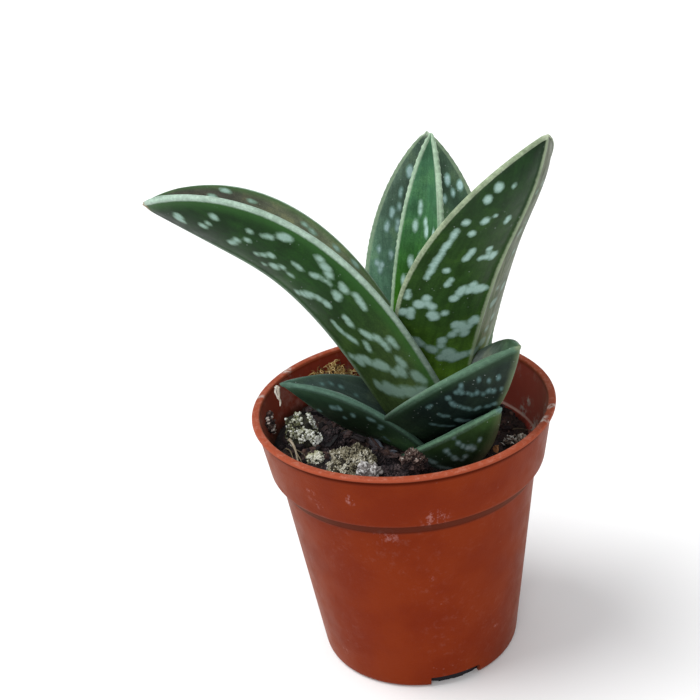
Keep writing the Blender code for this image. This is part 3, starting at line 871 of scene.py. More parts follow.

# %% [markdown]
# ## The pale marks
#
# The leaf's white marks are short strokes, longer along the leaf than across it. Low on the leaf they
# crowd together and run into wavy bands, and further up they stand apart. A picture is not needed for
# this: each stroke is one place, or a line of a few places, given as shares along the leaf and reaches
# from the middle (0) to a margin (1 or -1). The skin stores its distance in mm from the nearest
# stroke, and the shader paints what lies within a stroke's radius, with a ragged edge.

# %% Strokes read where the leaves show them
LOWER_MARKS = {
    "leaf_broad_right": (
        ((0.874, -0.74),), ((0.877, -0.49), (0.887, -0.53)), ((0.838, -0.74),),
        ((0.769, -0.59), (0.778, -0.55)), ((0.784, -0.47), (0.801, -0.49)),
        ((0.757, -0.25), (0.781, -0.25)), ((0.726, -0.64),), ((0.76, -0.81),),
        ((0.735, -0.82), (0.691, -0.81), (0.619, -0.81), (0.536, -0.82)), ((0.669, -0.49), (0.625, -0.51)),
        ((0.669, -0.28), (0.639, -0.25)), ((0.636, -0.34), (0.629, -0.14)), ((0.581, -0.64),),
        ((0.553, -0.55), (0.521, -0.57)), ((0.489, -0.39), (0.518, -0.34), (0.493, -0.21), (0.514, -0.13)),
        ((0.532, -0.28), (0.489, -0.08)), ((0.474, -0.43),), ((0.489, -0.95), (0.453, -0.93)),
        ((0.438, -0.81), (0.46, -0.74), (0.438, -0.66), (0.404, -0.61)), ((0.393, -0.59), (0.412, -0.47)),
        ((0.415, -0.86), (0.378, -0.84)), ((0.397, -0.95),),
        ((0.286, -0.77), (0.266, -0.66), (0.251, -0.57), (0.27, -0.47), (0.301, -0.43)),
        ((0.321, -0.36), (0.347, -0.26), (0.347, -0.14), (0.378, -0.08)), ((0.37, -0.32), (0.317, -0.14)),
        ((0.239, -0.43), (0.211, -0.28), (0.227, -0.13), (0.235, 0.1)), ((0.294, -0.86), (0.301, -0.72)),
        ((0.259, -0.37), (0.204, -0.18)),
    ),
    "leaf_arching_left": (
        ((0.882, 0.61), (0.892, 0.47)), ((0.784, 0.72), (0.769, 0.74)), ((0.799, 0.61), (0.81, 0.45)),
        ((0.729, 0.32), (0.698, 0.47)), ((0.682, 0.53), (0.665, 0.55)), ((0.675, 0.7),),
        ((0.646, 0.7), (0.612, 0.75)), ((0.602, 0.79), (0.578, 0.87)), ((0.636, 0.36), (0.585, 0.49)),
        ((0.598, 0.23), (0.543, 0.41)), ((0.536, 0.57), (0.5, 0.57)), ((0.525, 0.36), (0.503, 0.37)),
        ((0.489, 0.86), (0.438, 0.75)), ((0.474, 0.59), (0.449, 0.66), (0.415, 0.68)),
        ((0.404, 0.79), (0.385, 0.74)), ((0.397, 0.64), (0.374, 0.59)), ((0.359, 0.82), (0.309, 0.77)),
        ((0.467, 0.14), (0.415, 0.34), (0.37, 0.43)), ((0.321, 0.49), (0.29, 0.47)),
        ((0.266, 0.53), (0.235, 0.59)), ((0.231, 0.66), (0.18, 0.7)), ((0.211, 0.79), (0.18, 0.81)),
        ((0.231, 0.47), (0.196, 0.45)), ((0.328, 0.26), (0.282, 0.26), (0.235, 0.36)),
        ((0.152, 0.72), (0.124, 0.75)), ((0.2, 0.08), (0.184, 0.25), (0.16, 0.39)),
        ((0.152, 0.43), (0.104, 0.66)), ((0.088, 0.18), (0.056, 0.49), (0.04, 0.82)),
        ((0.084, 0.79), (0.064, 0.87)), ((0.072, 0.28), (0.04, 0.66)),
    ),
    "leaf_low_left": (
        ((0.678, 0.55), (0.655, 0.7)), ((0.726, 0.1),), ((0.482, 0.82), (0.438, 0.84)),
        ((0.397, 0.82), (0.359, 0.72)), ((0.286, 0.59), (0.223, 0.53)), ((0.56, 0.66),), ((0.581, 0.47),),
    ),
    "leaf_low_right": (
        ((0.769, -0.72),), ((0.793, -0.53),), ((0.827, -0.37),), ((0.642, -0.79), (0.672, -0.72)),
        ((0.665, -0.63), (0.698, -0.51)), ((0.714, -0.45), (0.742, -0.36)), ((0.748, -0.3), (0.763, -0.16)),
        ((0.595, -0.81), (0.581, -0.74)), ((0.553, -0.66), (0.578, -0.55)), ((0.578, -0.49), (0.602, -0.26)),
        ((0.615, -0.21), (0.659, -0.1)), ((0.449, -0.81), (0.493, -0.81)), ((0.438, -0.64), (0.474, -0.51)),
        ((0.46, -0.39), (0.471, -0.05)), ((0.328, -0.57), (0.355, -0.28)), ((0.691, -0.82),),
    ),
    "leaf_low_front": (
        ((0.655, -0.77), (0.652, -0.64)), ((0.669, -0.59), (0.662, -0.37)), ((0.536, -0.77), (0.514, -0.63)),
        ((0.511, -0.55), (0.5, -0.34)), ((0.324, -0.74), (0.347, -0.59)), ((0.332, -0.49), (0.328, -0.19)),
        ((0.564, -0.36),), ((0.665, -0.92),), ((0.751, -0.43),),
    ),
}
UPPER_MARKS = {
    "leaf_arching_left": (
        ((0.83, -0.68), (0.81, -0.6)), ((0.726, -0.74), (0.701, -0.74)), ((0.557, -0.81), (0.539, -0.79)),
        ((0.532, -0.79), (0.511, -0.77)), ((0.438, -0.84),), ((0.366, -0.88),), ((0.796, -0.84),),
    ),
    "leaf_broad_back": (
        ((0.855, 0.6),), ((0.796, 0.67), (0.766, 0.67)), ((0.72, 0.74), (0.688, 0.74)),
        ((0.678, 0.6), (0.642, 0.6)), ((0.675, 0.79), (0.642, 0.79)), ((0.578, 0.86), (0.564, 0.86)),
        ((0.564, 0.65), (0.532, 0.65)), ((0.532, 0.79), (0.496, 0.84)), ((0.778, -0.65), (0.766, -0.6)),
        ((0.763, -0.42), (0.739, -0.37)), ((0.799, -0.88),), ((0.822, -0.62),), ((0.726, 0.6),),
        ((0.525, 0.88),),
    ),
    "leaf_young": (
        ((0.751, 0.32), (0.698, 0.32)), ((0.669, 0.42), (0.646, 0.47)),
        ((0.69, 0.06), (0.65, -0.02), (0.63, -0.08)), ((0.632, -0.62),), ((0.529, 0.5), (0.521, 0.35)),
        ((0.539, 0.13),), ((0.46, 0.65), (0.441, 0.65)),
    ),
    "leaf_low_left": (((0.574, -0.57),), ((0.714, -0.5),), ((0.456, -0.47),), ((0.649, -0.57),)),
}
stroke_count = sum(len(group) for table in (LOWER_MARKS, UPPER_MARKS) for group in table.values())
print("strokes set by hand:", stroke_count)

# %% [markdown]
# The faces that the photograph hides get strokes by the same habit, drawn by seeded chance: rows about
# 5 mm apart, each row a few strokes, wide and joined near the foot and small and apart near the tip.

# %% Strokes sown by chance
ROW_PITCH = 5.0
ROWS_FROM, ROWS_TO = 0.08, 0.92
STROKE_PITCH = 0.15
WIDE_BELOW = 0.4


def sown_strokes(leaf, low_reach, high_reach, density, chance):
    """Rows of strokes over a strip: each row is a wave, and a stroke stays by density·(1.25 - 0.8·share)."""
    strokes = []
    for row in np.arange(ROWS_FROM, ROWS_TO, ROW_PITCH / leaf["length"]):
        for reach in np.arange(low_reach + 0.06, high_reach, STROKE_PITCH):
            if chance.random() > density * (1.25 - 0.8 * row):
                continue
            share = row + 0.03 * np.sin(9 * reach + 30 * row) + chance.normal(0, 0.008)
            start = reach + chance.normal(0, 0.02)
            across = chance.uniform(0.06, 0.2) if row < WIDE_BELOW else chance.uniform(0.0, 0.07)
            end = (share + chance.normal(0, 0.012), min(start + across, high_reach))
            strokes.append(((share, start), end))
    return strokes


trial_strokes = sown_strokes(LEAVES["leaf_low_back"], -0.92, 0.92, 0.5, np.random.default_rng(1))
print("strokes in one trial on the low back leaf:", len(trial_strokes))

# %% Distance from the marks
LENGTHWAYS = (0.8, 0.7, 0.0, 0.04)  # dash pitch in radii, size, shake along in radii, shake across in mm
CROSSWISE = (1.38, 1.0, 0.45, 0.14)
END_INSET = 0.4
MARK_BLEND = 0.13
FAR = 3.0


def dots_of(strokes, length, face_of, radius, stretch, chance):
    """Each stroke as a chain of dashes (mm along, mm across, half width), shaken by chance.

    A half width is the radius·(1.18 - 0.3·share/0.6), which stops falling at the share 0.6."""
    dots = []
    for stroke in strokes:
        share, reach = np.array(stroke).T
        along, across = share * length, reach * face_of(share)
        travelled = np.concatenate([[0], np.cumsum(np.hypot(np.diff(along) / stretch, np.diff(across)))])
        lengthways = abs(along[-1] - along[0]) > 2.5 * abs(across[-1] - across[0])
        pitch, thinner, shake, drift = LENGTHWAYS if lengthways else CROSSWISE
        inset = min(END_INSET * radius, END_INSET * travelled[-1])
        count = int(round((travelled[-1] - 2 * inset) / (pitch * radius))) + 1
        stops = np.linspace(inset, travelled[-1] - inset, count)
        shake = 0.0 if count == 1 else shake * radius
        size = radius * (1.18 - 0.3 * min(share[0] / 0.6, 1)) * chance.uniform(0.74, 1.26, count) * thinner
        dots.append(np.stack([
            np.interp(stops, travelled, along) + chance.normal(0, shake, count),
            np.interp(stops, travelled, across) + chance.normal(0, drift, count), size], axis=1))
    return np.vstack(dots) if dots else np.zeros((0, 3))


def near_dots(along, across, dots, stretch):
    """Distance in mm from all dashes, lengthways ones shrunk, joined softly: -k·log(sum of exp(-d/k))."""
    total = np.full(along.shape, np.exp(-FAR / MARK_BLEND))
    for x, y, size in dots:
        near = np.hypot((along - x) / stretch, across - y) - size
        total += np.exp(-np.clip(near, -1, FAR) / MARK_BLEND)
    return -MARK_BLEND * np.log(total)


SOWN = {  # strips: face, from reach to reach, density; then the marks' half width in mm and stretch
    "leaf_low_front": ((("lower", 0.05, 0.92, 0.5), ("upper", -0.9, 0.9, 0.4)), 0.53, 1.3),
    "leaf_low_left": ((("lower", -0.92, -0.05, 0.5), ("upper", 0.05, 0.9, 0.3)), 0.46, 1.4),
    "leaf_low_back": ((("lower", -0.92, 0.92, 0.5), ("upper", -0.9, 0.9, 0.4)), 0.42, 1.4),
    "leaf_low_right": ((("lower", 0.05, 0.92, 0.55), ("upper", -0.9, 0.9, 0.35)), 0.54, 1.15),
    "leaf_arching_left": ((("lower", -0.92, -0.05, 0.6), ("upper", -0.5, 0.9, 0.4)), 0.78, 1.5),
    "leaf_broad_back": ((("lower", -0.92, 0.92, 0.5), ("upper", -0.3, 0.45, 0.4)), 0.86, 1.3),
    "leaf_broad_right": ((("lower", 0.12, 0.92, 0.6), ("upper", -0.9, 0.9, 0.5)), 0.88, 1.1),
    "leaf_young": ((("lower", -0.92, 0.92, 0.55),), 1.0, 1.7),
}


def skin_values(name, shares, reach, side, face):
    """At each point: mm from a mark's edge, mm from the margin, the side (upper 1) and 0; and mm across."""
    leaf = LEAVES[name]
    chance = np.random.default_rng(sum(map(ord, name)))
    strokes = {"lower": list(LOWER_MARKS.get(name, ())), "upper": list(UPPER_MARKS.get(name, ()))}
    strips, radius, stretch = SOWN[name]
    for where, low, high, density in strips:
        strokes[where] += sown_strokes(leaf, low, high, density, chance)
    along, across = np.meshgrid(shares * leaf["length"], reach, indexing="ij")
    across_mm = across * face[:, None]
    marks = np.full(along.shape, FAR)
    for where, columns in (("lower", side < 0.01), ("upper", side > 0.99)):
        dots = dots_of(strokes[where], leaf["length"], lambda share: np.interp(share, shares, face),
                       radius, stretch, chance)
        marks[:, columns] = near_dots(along[:, columns], across_mm[:, columns], dots, stretch)
    to_margin = (1 - np.abs(across)) * face[:, None]
    return np.stack([marks, to_margin, side[None, :] + 0 * marks, 0 * marks], axis=-1), across_mm


print("half widths of the marks in mm:", sorted(sown[1] for sown in SOWN.values()))

# %% [markdown]
# A leaf's mesh is its grid plus a ring below for the sheath that clasps the stem, a cap there and a
# point at the tip. Where leaves crowd at the stem, the younger one is cut clear of the older ones
# round it, so nothing pokes through.

# %% Leaf mesh
STEM_FOOT = np.array([3.4, 2.4, 22.0])
STEM_HEAD = np.array([4.4, 3.6, 48.5])
SHEATH_LENGTH = 5.0
SHEATH_WIDTH = 0.82


def stem_point(height):
    """The place on the stem's axis at a height: foot + share·(head - foot)."""
    return STEM_FOOT + (STEM_HEAD - STEM_FOOT) * (height - STEM_FOOT[2]) / (STEM_HEAD[2] - STEM_FOOT[2])


def leaf_points(name, **choices):
    """All points of the leaf's closed skin in mm, sheath ring first and tip last, and what the grid knows."""
    leaf = LEAVES[name]
    grid, shares, reach, side, face, along, inward = leaf_surface(leaf, **choices)
    foot = np.array(leaf["foot"])
    sheath = (foot - along[0] * SHEATH_LENGTH + stem_point(foot[2] - SHEATH_LENGTH)) / 2
    first = sheath + (grid[0] - foot) * SHEATH_WIDTH
    middle = midline(leaf, shares)[0][-1]
    tip = middle + (along[-1] - inward[-1]) * POINT_HALF_WIDTH / 2
    points = np.concatenate([first[None], grid]).reshape(-1, 3)
    return np.vstack([points, tip]), (len(shares) + 1, grid.shape[1]), (shares, reach, side, face)


def closed_mesh(name, points, size):
    """Rings joined by four-sided faces, one cap at the foot and a fan at the tip, facing outwards."""
    rings, sides = size
    last = (rings - 1) * sides
    tip = len(points) - 1
    fan = [(tip, last + i, last + (i + 1) % sides) for i in range(sides)]
    return facing_out(mesh_of(name, points * MM, ring_faces(rings, sides), [range(sides), *fan]))


def store_map(mesh, flat):
    """A flat map at the corners from two numbers at each point."""
    mesh.uv_layers.new(name="skin_map").data.foreach_set("uv", at_corners(mesh, flat))


def with_ends(values):
    """The grid's numbers, its first row once more for the sheath ring and its last point's for the tip."""
    rows = np.concatenate([values[:1], values]).reshape(-1, values.shape[-1])
    return np.vstack([rows, rows[-1]])


print("the stem at the height of 45 mm is at", stem_point(45).round(1).tolist())

# %% Leaf building
CUTTER_SPACING = 1.2
CUTTER_GROWTH = 0.12
LEAF_SHARP_ANGLE = 50
MAP_UNIT = 10  # mm to one unit of the flat map
LOW_TOOTH = 0.08
TOOTH_HEIGHT = {"leaf_young": 0.2, "leaf_broad_back": 0.1, "leaf_broad_right": 0.1, "leaf_arching_left": 0.09}


def build_leaf(name, older):
    """The leaf's skin with its stored numbers and flat map, cut clear of the older leaves."""
    points, size, (shares, reach, side, face) = leaf_points(name, tooth=TOOTH_HEIGHT.get(name, LOW_TOOTH))
    values, across = skin_values(name, shares, reach, side, face)
    lengths = np.repeat(shares[:, None] * LEAVES[name]["length"], len(reach), axis=1)
    mesh = closed_mesh(name + "_skin", points, size)
    store_at_corners(mesh, "skin_values", with_ends(values))
    store_map(mesh, with_ends(np.stack([lengths, across], axis=-1) / MAP_UNIT))
    if older:
        outlines = [leaf_points(other, spacing=CUTTER_SPACING, grow=CUTTER_GROWTH) for other in older]
        cutters = [closed_mesh("cutter", outline[0], outline[1]) for outline in outlines]
        mesh = largest_body(cut_mesh(mesh, cutters))
        mesh.set_sharp_from_angle(angle=np.radians(LEAF_SHARP_ANGLE))
    return mesh


leaf_meshes = {}
for name in LEAVES:
    leaf_meshes[name] = build_leaf(name, list(leaf_meshes))
print("leaves built:", len(leaf_meshes))

# %% [markdown]
# ## The leaf skin
#
# The skin is a waxy dark green. Near the foot it is yellower, the upper faces that stand in the sun
# turn brownish, and the lowest leaves are darker and bluer. Light and shade are painted in as well:
# the feet are painted lighter against the shade that falls there, some upper faces carry a painted
# pale sheen, one half of the broad back leaf's upper face is painted darker as shade, and a brighter
# green by some margins is painted light shining through the thin flesh. On it lie the pale marks, the
# hard pale margins and keel, and a little dust, partly painted glints. The finish reads the numbers
# stored on the skin, so every pattern follows the leaf round its curves.

# %% Leaf colours, each tone as seen on a screen
# The feet are painted lighter against their shade; the pale upper tones of the broad back and low right
# leaves are a painted sheen.
GREENS_AND_PAINTED_LIGHT = {  # foot, middle and tip of the lower face, then foot and tip of the upper face
    "leaf_low_front": ((100, 122, 124), (34, 54, 34), (46, 74, 36), (52, 84, 78), (52, 84, 78)),
    "leaf_low_left": ((72, 106, 70), (22, 38, 24), (34, 56, 40), (60, 78, 70), (66, 84, 78)),
    "leaf_low_back": ((40, 60, 30), (30, 50, 36), (40, 62, 44), (52, 74, 66), (52, 74, 66)),
    "leaf_low_right": ((46, 66, 46), (18, 31, 27), (28, 42, 34), (158, 170, 166), (80, 108, 84)),
    "leaf_arching_left": ((54, 72, 38), (20, 54, 13), (13, 38, 14), (108, 119, 92), (58, 60, 51)),
    "leaf_broad_back": ((44, 74, 40), (36, 66, 40), (40, 66, 42), (104, 150, 122), (82, 106, 90)),
    "leaf_broad_right": ((90, 130, 40), (37, 64, 25), (15, 43, 15), (60, 84, 50), (60, 84, 50)),
    "leaf_young": ((80, 130, 40), (52, 104, 34), (64, 110, 66), (54, 110, 26), (66, 112, 80)),
}
EDGES = {  # the margin's tone, width and softness in mm, strength, and lightness at the foot and the tip
    "leaf_low_front": ((102, 138, 114), 0.5, 0.42, 0.8, 0.6, 1.15),
    "leaf_low_left": ((82, 112, 98), 0.55, 0.55, 0.75, 0.6, 1.1),
    "leaf_low_back": ((92, 124, 108), 0.6, 0.8, 0.7, 0.6, 1.0),
    "leaf_low_right": ((84, 114, 94), 0.55, 0.45, 0.76, 0.1, 1.1),
    "leaf_arching_left": ((174, 198, 182), 0.32, 0.32, 0.94, 0.4, 0.92),
    "leaf_broad_back": ((136, 156, 128), 0.1, 0.25, 0.85, 0.8, 1.0),
    "leaf_broad_right": ((158, 172, 142), 0.1, 0.24, 0.92, 0.8, 1.15),
    "leaf_young": ((186, 212, 184), 0.36, 0.34, 0.95, 0.9, 0.9),
}
KEELS = {  # the keel's tone, its width and softness in mm and its strength, from the share where it shows
    "leaf_low_front": ((112, 112, 90), 1.0, 1.2, 0.5, 0.3),
    "leaf_low_left": ((94, 126, 110), 0.4, 0.9, 0.2, 0.1),
    "leaf_low_right": ((134, 150, 112), 0.3, 1.3, 0.8, 0.5),
    "leaf_arching_left": ((156, 176, 158), 0.6, 0.4, 0.5, 0.0),
    "leaf_broad_back": ((136, 156, 128), 0.5, 0.25, 0.6, 0.0),
    "leaf_broad_right": ((150, 164, 134), 0.45, 0.2, 0.8, 0.0),
    "leaf_young": ((168, 192, 162), 0.5, 0.3, 0.5, 0.0),
}
# painted light: the brighter green by the margin stands for light shining through the thin flesh
PAINTED_GLOWS = {  # the brighter green beside the margin, where the leaf is thin: tone, reach in mm, strength
    "leaf_arching_left": ((50, 98, 40), 3.2, 0.5), "leaf_low_front": ((58, 88, 44), 3.0, 0.4),
    "leaf_low_left": ((48, 74, 54), 3.2, 0.5), "leaf_low_right": ((44, 70, 44), 2.6, 0.45),
}
TIPS = {  # the dry or worn tip of a leaf, and the share where it starts
    "leaf_arching_left": ((150, 118, 84), 0.975), "leaf_broad_back": ((170, 186, 164), 0.97),
    "leaf_broad_right": ((196, 202, 178), 0.986),
    "leaf_low_front": ((100, 134, 128), 0.96), "leaf_low_right": ((120, 134, 104), 0.97),
}
WASHES = {  # the half with a dull bleached film: its sign across, the film's tone and strength
    "leaf_arching_left": (-1, (182, 178, 162), 0.85),
    "leaf_broad_right": (1, (108, 112, 88), 0.8),
}
# painted shade: one half of an upper face painted darker
SHADED_HALVES = {  # the half of an upper face that is a deeper green: its sign across, the change
    "leaf_broad_back": (-1, (0.6, 0.66, 0.58)),
}
MARKS = {  # the marks' tone at the edge and at the heart, and how strong they are at the leaf's foot
    "leaf_low_front": ((96, 124, 120), (136, 164, 164), 1.0),
    "leaf_low_left": ((84, 114, 110), (114, 146, 144), 1.0),
    "leaf_low_back": ((84, 114, 110), (114, 146, 144), 1.0),
    "leaf_low_right": ((70, 96, 94), (94, 122, 124), 0.8),
    "leaf_arching_left": ((108, 136, 118), (142, 172, 160), 0.62),
    "leaf_broad_back": ((128, 164, 154), (184, 216, 216), 1.0),
    "leaf_broad_right": ((122, 152, 138), (156, 186, 178), 1.0),
    "leaf_young": ((148, 184, 166), (196, 230, 224), 1.0),
}
FAINT_ABOVE = {  # how strong the marks are on a bleached upper face
    "leaf_arching_left": 0.88, "leaf_low_right": 0.3,
}
# the white specks are partly mineral dust and partly painted glints
DUST_AND_GLINTS = {  # mineral specks: how sparse they are and how strong
    "leaf_low_front": (0.42, 0.5), "leaf_low_right": (0.46, 0.34), "leaf_low_left": (0.52, 0.5),
    "leaf_broad_back": (0.5, 0.55),
}
DUST_AND_GLINT_TONE = tone(180, 192, 188)
print("greens for", len(GREENS_AND_PAINTED_LIGHT), "leaves, pale keels on", len(KEELS))

# %% Leaf finish

def leaf_green(bench, name, side, margin, share, across, grain, streak):
    """Foot, middle and tip tones along both faces, with painted light at the feet and a painted sheen on some
    upper faces; streaks, clouds and grain; then the painted glow by the margin and the painted shade on one
    half.
    """
    foot, middle, tip, upper_foot, upper_tip = (tone(*seen) for seen in GREENS_AND_PAINTED_LIGHT[name])
    green = bench.paint(foot, middle, bench.step(share, 0.0, 0.45))
    green = bench.paint(green, tip, bench.step(share, 0.5, 1.0))
    upper = bench.paint(upper_foot, upper_tip, bench.step(share, 0.35, 0.85))
    green = bench.paint(green, upper, bench.step(side, 0.2, 0.8))
    darker = bench.tinted(green, (0.5, 0.5, 0.52))
    green = bench.paint(green, darker, bench.step(streak, 0.38, 0.7, 0.0, 0.5))
    cloud = bench.noise(230, 4, 0.6)
    green = bench.paint(green, bench.tinted(green, (1.75, 1.6, 1.3)), bench.step(cloud, 0.5, 0.66, 0.0, 0.55))
    green = bench.paint(green, darker, bench.step(cloud, 0.5, 0.34, 0.0, 0.55))
    green = bench.paint(green, bench.tinted(green, (1.9, 1.7, 1.8)), bench.step(grain, 0.35, 0.65, 0.0, 0.4))
    # painted light shining through the thin margin
    if name in PAINTED_GLOWS:
        glow, reach, strength = PAINTED_GLOWS[name]
        green = bench.paint(green, tone(*glow), bench.step(margin, reach, 0.5, 0.0, strength))
    # painted shade on one half of the upper face
    if name in SHADED_HALVES:
        sign, change = SHADED_HALVES[name]
        half = bench.step(bench.times(across, sign), 0.0, 0.12)
        green = bench.paint(green, bench.tinted(green, change), half)
    return green


def bleached(bench, name, colour, across, side, streak):
    """A dull film on half of the lower face, streaked along the leaf, and how much of a mark it leaves."""
    sign, film, strength = WASHES[name]
    half = bench.times(bench.step(bench.times(across, sign), 0.0, 0.14), bench.step(side, 0.5, 0.1))
    amount = bench.times(half, bench.step(streak, 0.32, 0.62, strength, 0.35 * strength))
    return bench.paint(colour, tone(*film), amount), bench.maths("MULTIPLY_ADD", half, -0.55, 1.0)


def pale_marks(bench, name, marks, ragged, grain):
    """How far each place lies within a mark, by the ragged distance from its edge, and the mark's colour."""
    wavy = bench.maths("MULTIPLY_ADD", bench.noise(600, 2), 0.5, -0.25)
    near_mark = bench.maths("ADD", marks, bench.maths("ADD", ragged, wavy))
    outer, inner = MARKS[name][:2]
    pale = bench.paint(tone(*outer), tone(*inner), bench.step(near_mark, -0.05, -0.45))
    worn = bench.tinted(pale, (0.6, 0.66, 0.64))
    pale = bench.paint(pale, worn, bench.step(grain, 0.4, 0.7, 0.0, 0.35))
    return bench.step(near_mark, 0.28, -0.2), pale


def pale_band(bench, away, ragged, width, soft, strength):
    """Full where the ragged distance is under width - soft, gone past width + soft, times the strength."""
    near = bench.maths("ADD", away, bench.times(ragged, 0.8))
    return bench.times(bench.step(near, width + soft, width - soft), strength)


def leaf_finish(name):
    """The green, the film, the marks, the keel, the margin, the dry tip and the dust with painted glints,
    laid on in turn.
    """
    bench = Bench(name + "_skin", Specular_IOR_Level=0.12)
    marks, margin, side = bench.stored("skin_values")
    flat_map = bench.node("UVMap")
    flat_map.uv_map = "skin_map"
    flat = flat_map.outputs[0]
    along, across = bench.split(flat)[:2]
    share = bench.times(along, MAP_UNIT / LEAVES[name]["length"])
    grain = bench.noise(3800, 2, 0.7)
    streak = bench.noise(1.0, 4, 0.6, bench.stretched(1.3, 11.0, 1.0, flat))
    ragged = bench.maths("MULTIPLY_ADD", bench.noise(1700, 3, 0.6), 0.4, -0.2)

    green = leaf_green(bench, name, side, margin, share, across, grain, streak)
    clear = 1.0
    if name in WASHES:
        green, clear = bleached(bench, name, green, across, side, streak)
    mark_share, pale = pale_marks(bench, name, marks, ragged, grain)
    at_foot = MARKS[name][2]
    fade = bench.step(side, 0.2, 0.8, 0.94, FAINT_ABOVE.get(name, 0.92))
    fade = bench.times(fade, bench.step(share, 0.06, 0.3, at_foot, 1.0), clear)
    colour = bench.paint(green, pale, mark_share, fade)

    worn = bench.patches((260, 3), 0.3, 0.6, 0.75, 1.0)
    if name in KEELS:
        keel, *keel_band, start = KEELS[name]
        away = bench.maths("MULTIPLY_ADD", bench.maths("ABSOLUTE", across), MAP_UNIT, bench.times(side, FAR))
        keel_share = pale_band(bench, away, ragged, *keel_band)
        keel_share = bench.times(keel_share, bench.step(share, start, start + 0.25))
        colour = bench.paint(colour, tone(*keel), keel_share, worn)
    edge, *edge_band, foot_light, tip_light = EDGES[name]
    band = bench.times(pale_band(bench, margin, ragged, *edge_band), worn)
    flecks = bench.patches((1100, 4, 0.7), 0.4, 0.68, 0.84, 1.14)
    flecks = bench.times(flecks, bench.step(share, 0.05, 0.45, foot_light, tip_light))
    colour = bench.paint(colour, bench.tinted(tone(*edge), bench.shade(flecks)), band)
    if name in TIPS:
        dry, start = TIPS[name]
        colour = bench.paint(colour, tone(*dry), bench.step(share, start, start + 0.02, 0.0, 0.85))

    # specks of dust, partly painted glints
    sparse, strength = DUST_AND_GLINTS.get(name, (0.54, 0.4))
    dust = bench.specks(1050, (0.15, 0.07), (210, 2), (sparse, sparse + 0.08))
    colour = bench.paint(colour, DUST_AND_GLINT_TONE, dust, strength)
    rough = bench.patches((420, 3), 0.3, 0.7, 0.38, 0.52)
    pores = bench.relief(bench.noise(3200, 2), 0.00005, 0.35)
    raised = bench.relief(bench.maths("ADD", mark_share, band), 0.00006, 0.5, pores)
    return bench.done(colour, rough, raised)


for name, mesh in leaf_meshes.items():
    piece_of(name + "_skin", mesh, leaf_finish(name), [name])

# %% [markdown]
# ## The potting soil
#
# Potting soil is a heap of dark peat crumbs of all sizes. The heap's surface is one relief: a tilted
# plane with a low mound at the plant, and noise of several sizes for its clods. It could be displaced
# by a modifier; worked out as arrays it also fits the pot's wall at every bearing. Loose crumbs, chips
# and fibres then lie on it.

# %% Soil relief
SOIL_LEVEL = 40.4
SOIL_TILT = -0.075
SOIL_MOUND = 1.6
SOIL_MOUND_SPREAD = 13.0
SOIL_GAP = 0.34
SOIL_EDGE = 23.4
SOIL_HOLLOWS = ((-10.9, 8.0, 2.6, 2.0), (3.6, -11.6, 2.6, 1.5), (-6.0, -9.5, 2.0, 0.8))  # x, y, reach, depth
INNER_WALL = np.array(POT_INSIDE)[-2:0:-1, :2]
SOIL_RINGS = 120
SOIL_SPOKES = 420
SIDE_RINGS = 6


def soil_height(x, y):
    """The soil's height in mm: level + tilt·x + a low mound + clods, lumps and crumbs - a few hollows."""
    mound = SOIL_MOUND * np.exp(-(x * x + y * y) / SOIL_MOUND_SPREAD ** 2)
    place = np.stack([x, y, 0 * x], axis=-1)
    clods = 0.8 * soft_noise(place / 4.2, 3)
    lumps = 0.55 * (0.5 - np.abs(soft_noise(place / 1.9 + 5.0, 4)))
    crumbs = 0.28 * (0.5 - np.abs(soft_noise(place / 0.8 + 9.0, 5))) + 0.12 * soft_noise(place / 0.35, 6)
    hollows = sum(
        deep * np.exp(-((x - mid_x) ** 2 + (y - mid_y) ** 2) / reach ** 2)
        for mid_x, mid_y, reach, deep in SOIL_HOLLOWS)
    return SOIL_LEVEL + SOIL_TILT * x + mound + clods + lumps + crumbs - hollows


def wall_radius(height):
    """The pot's inner radius in mm at a height, read off its profile."""
    return np.interp(height, INNER_WALL[:, 1], INNER_WALL[:, 0])


def off_the_wall(points, gap=0.25):
    """Points in mm; those nearer to the wall than the gap are drawn in: x and y times limit/radius."""
    limit = wall_radius(points[:, 2]) - gap
    pull = np.minimum(1, limit / np.maximum(np.hypot(points[:, 0], points[:, 1]), 0.001))
    return points * np.stack([pull, pull, np.ones(len(points))], axis=1)


def soil_points():
    """Rings of the relief from the middle out to the wall, then rings down the wall to the floor."""
    angle = 2 * np.pi * np.arange(SOIL_SPOKES) / SOIL_SPOKES
    rim = wall_radius(soil_height(SOIL_EDGE * np.cos(angle), SOIL_EDGE * np.sin(angle))) - SOIL_GAP
    share = np.linspace(0.006, 1, SOIL_RINGS)[:, None]
    x, y = share * rim * np.cos(angle), share * rim * np.sin(angle)
    z = soil_height(x, y)
    fall = np.linspace(0, 1, SIDE_RINGS + 1)[1:, None]
    side_z = z[-1] + (POT_FLOOR + SOIL_GAP - z[-1]) * fall
    radius = np.minimum(wall_radius(side_z) - SOIL_GAP, rim)
    x = np.concatenate([x, radius * np.cos(angle)])
    y = np.concatenate([y, radius * np.sin(angle)])
    return np.stack([x, y, np.concatenate([z, side_z])], axis=-1).reshape(-1, 3)


rings = SOIL_RINGS + SIDE_RINGS
soil_caps = [range(SOIL_SPOKES), range((rings - 1) * SOIL_SPOKES, rings * SOIL_SPOKES)]
soil_mesh = facing_out(mesh_of("soil_heap", soil_points() * MM, ring_faces(rings, SOIL_SPOKES), soil_caps))
print("soil height at the middle in mm:", round(float(soil_height(np.zeros(1), np.zeros(1))[0]), 1))

# %% Soil finish

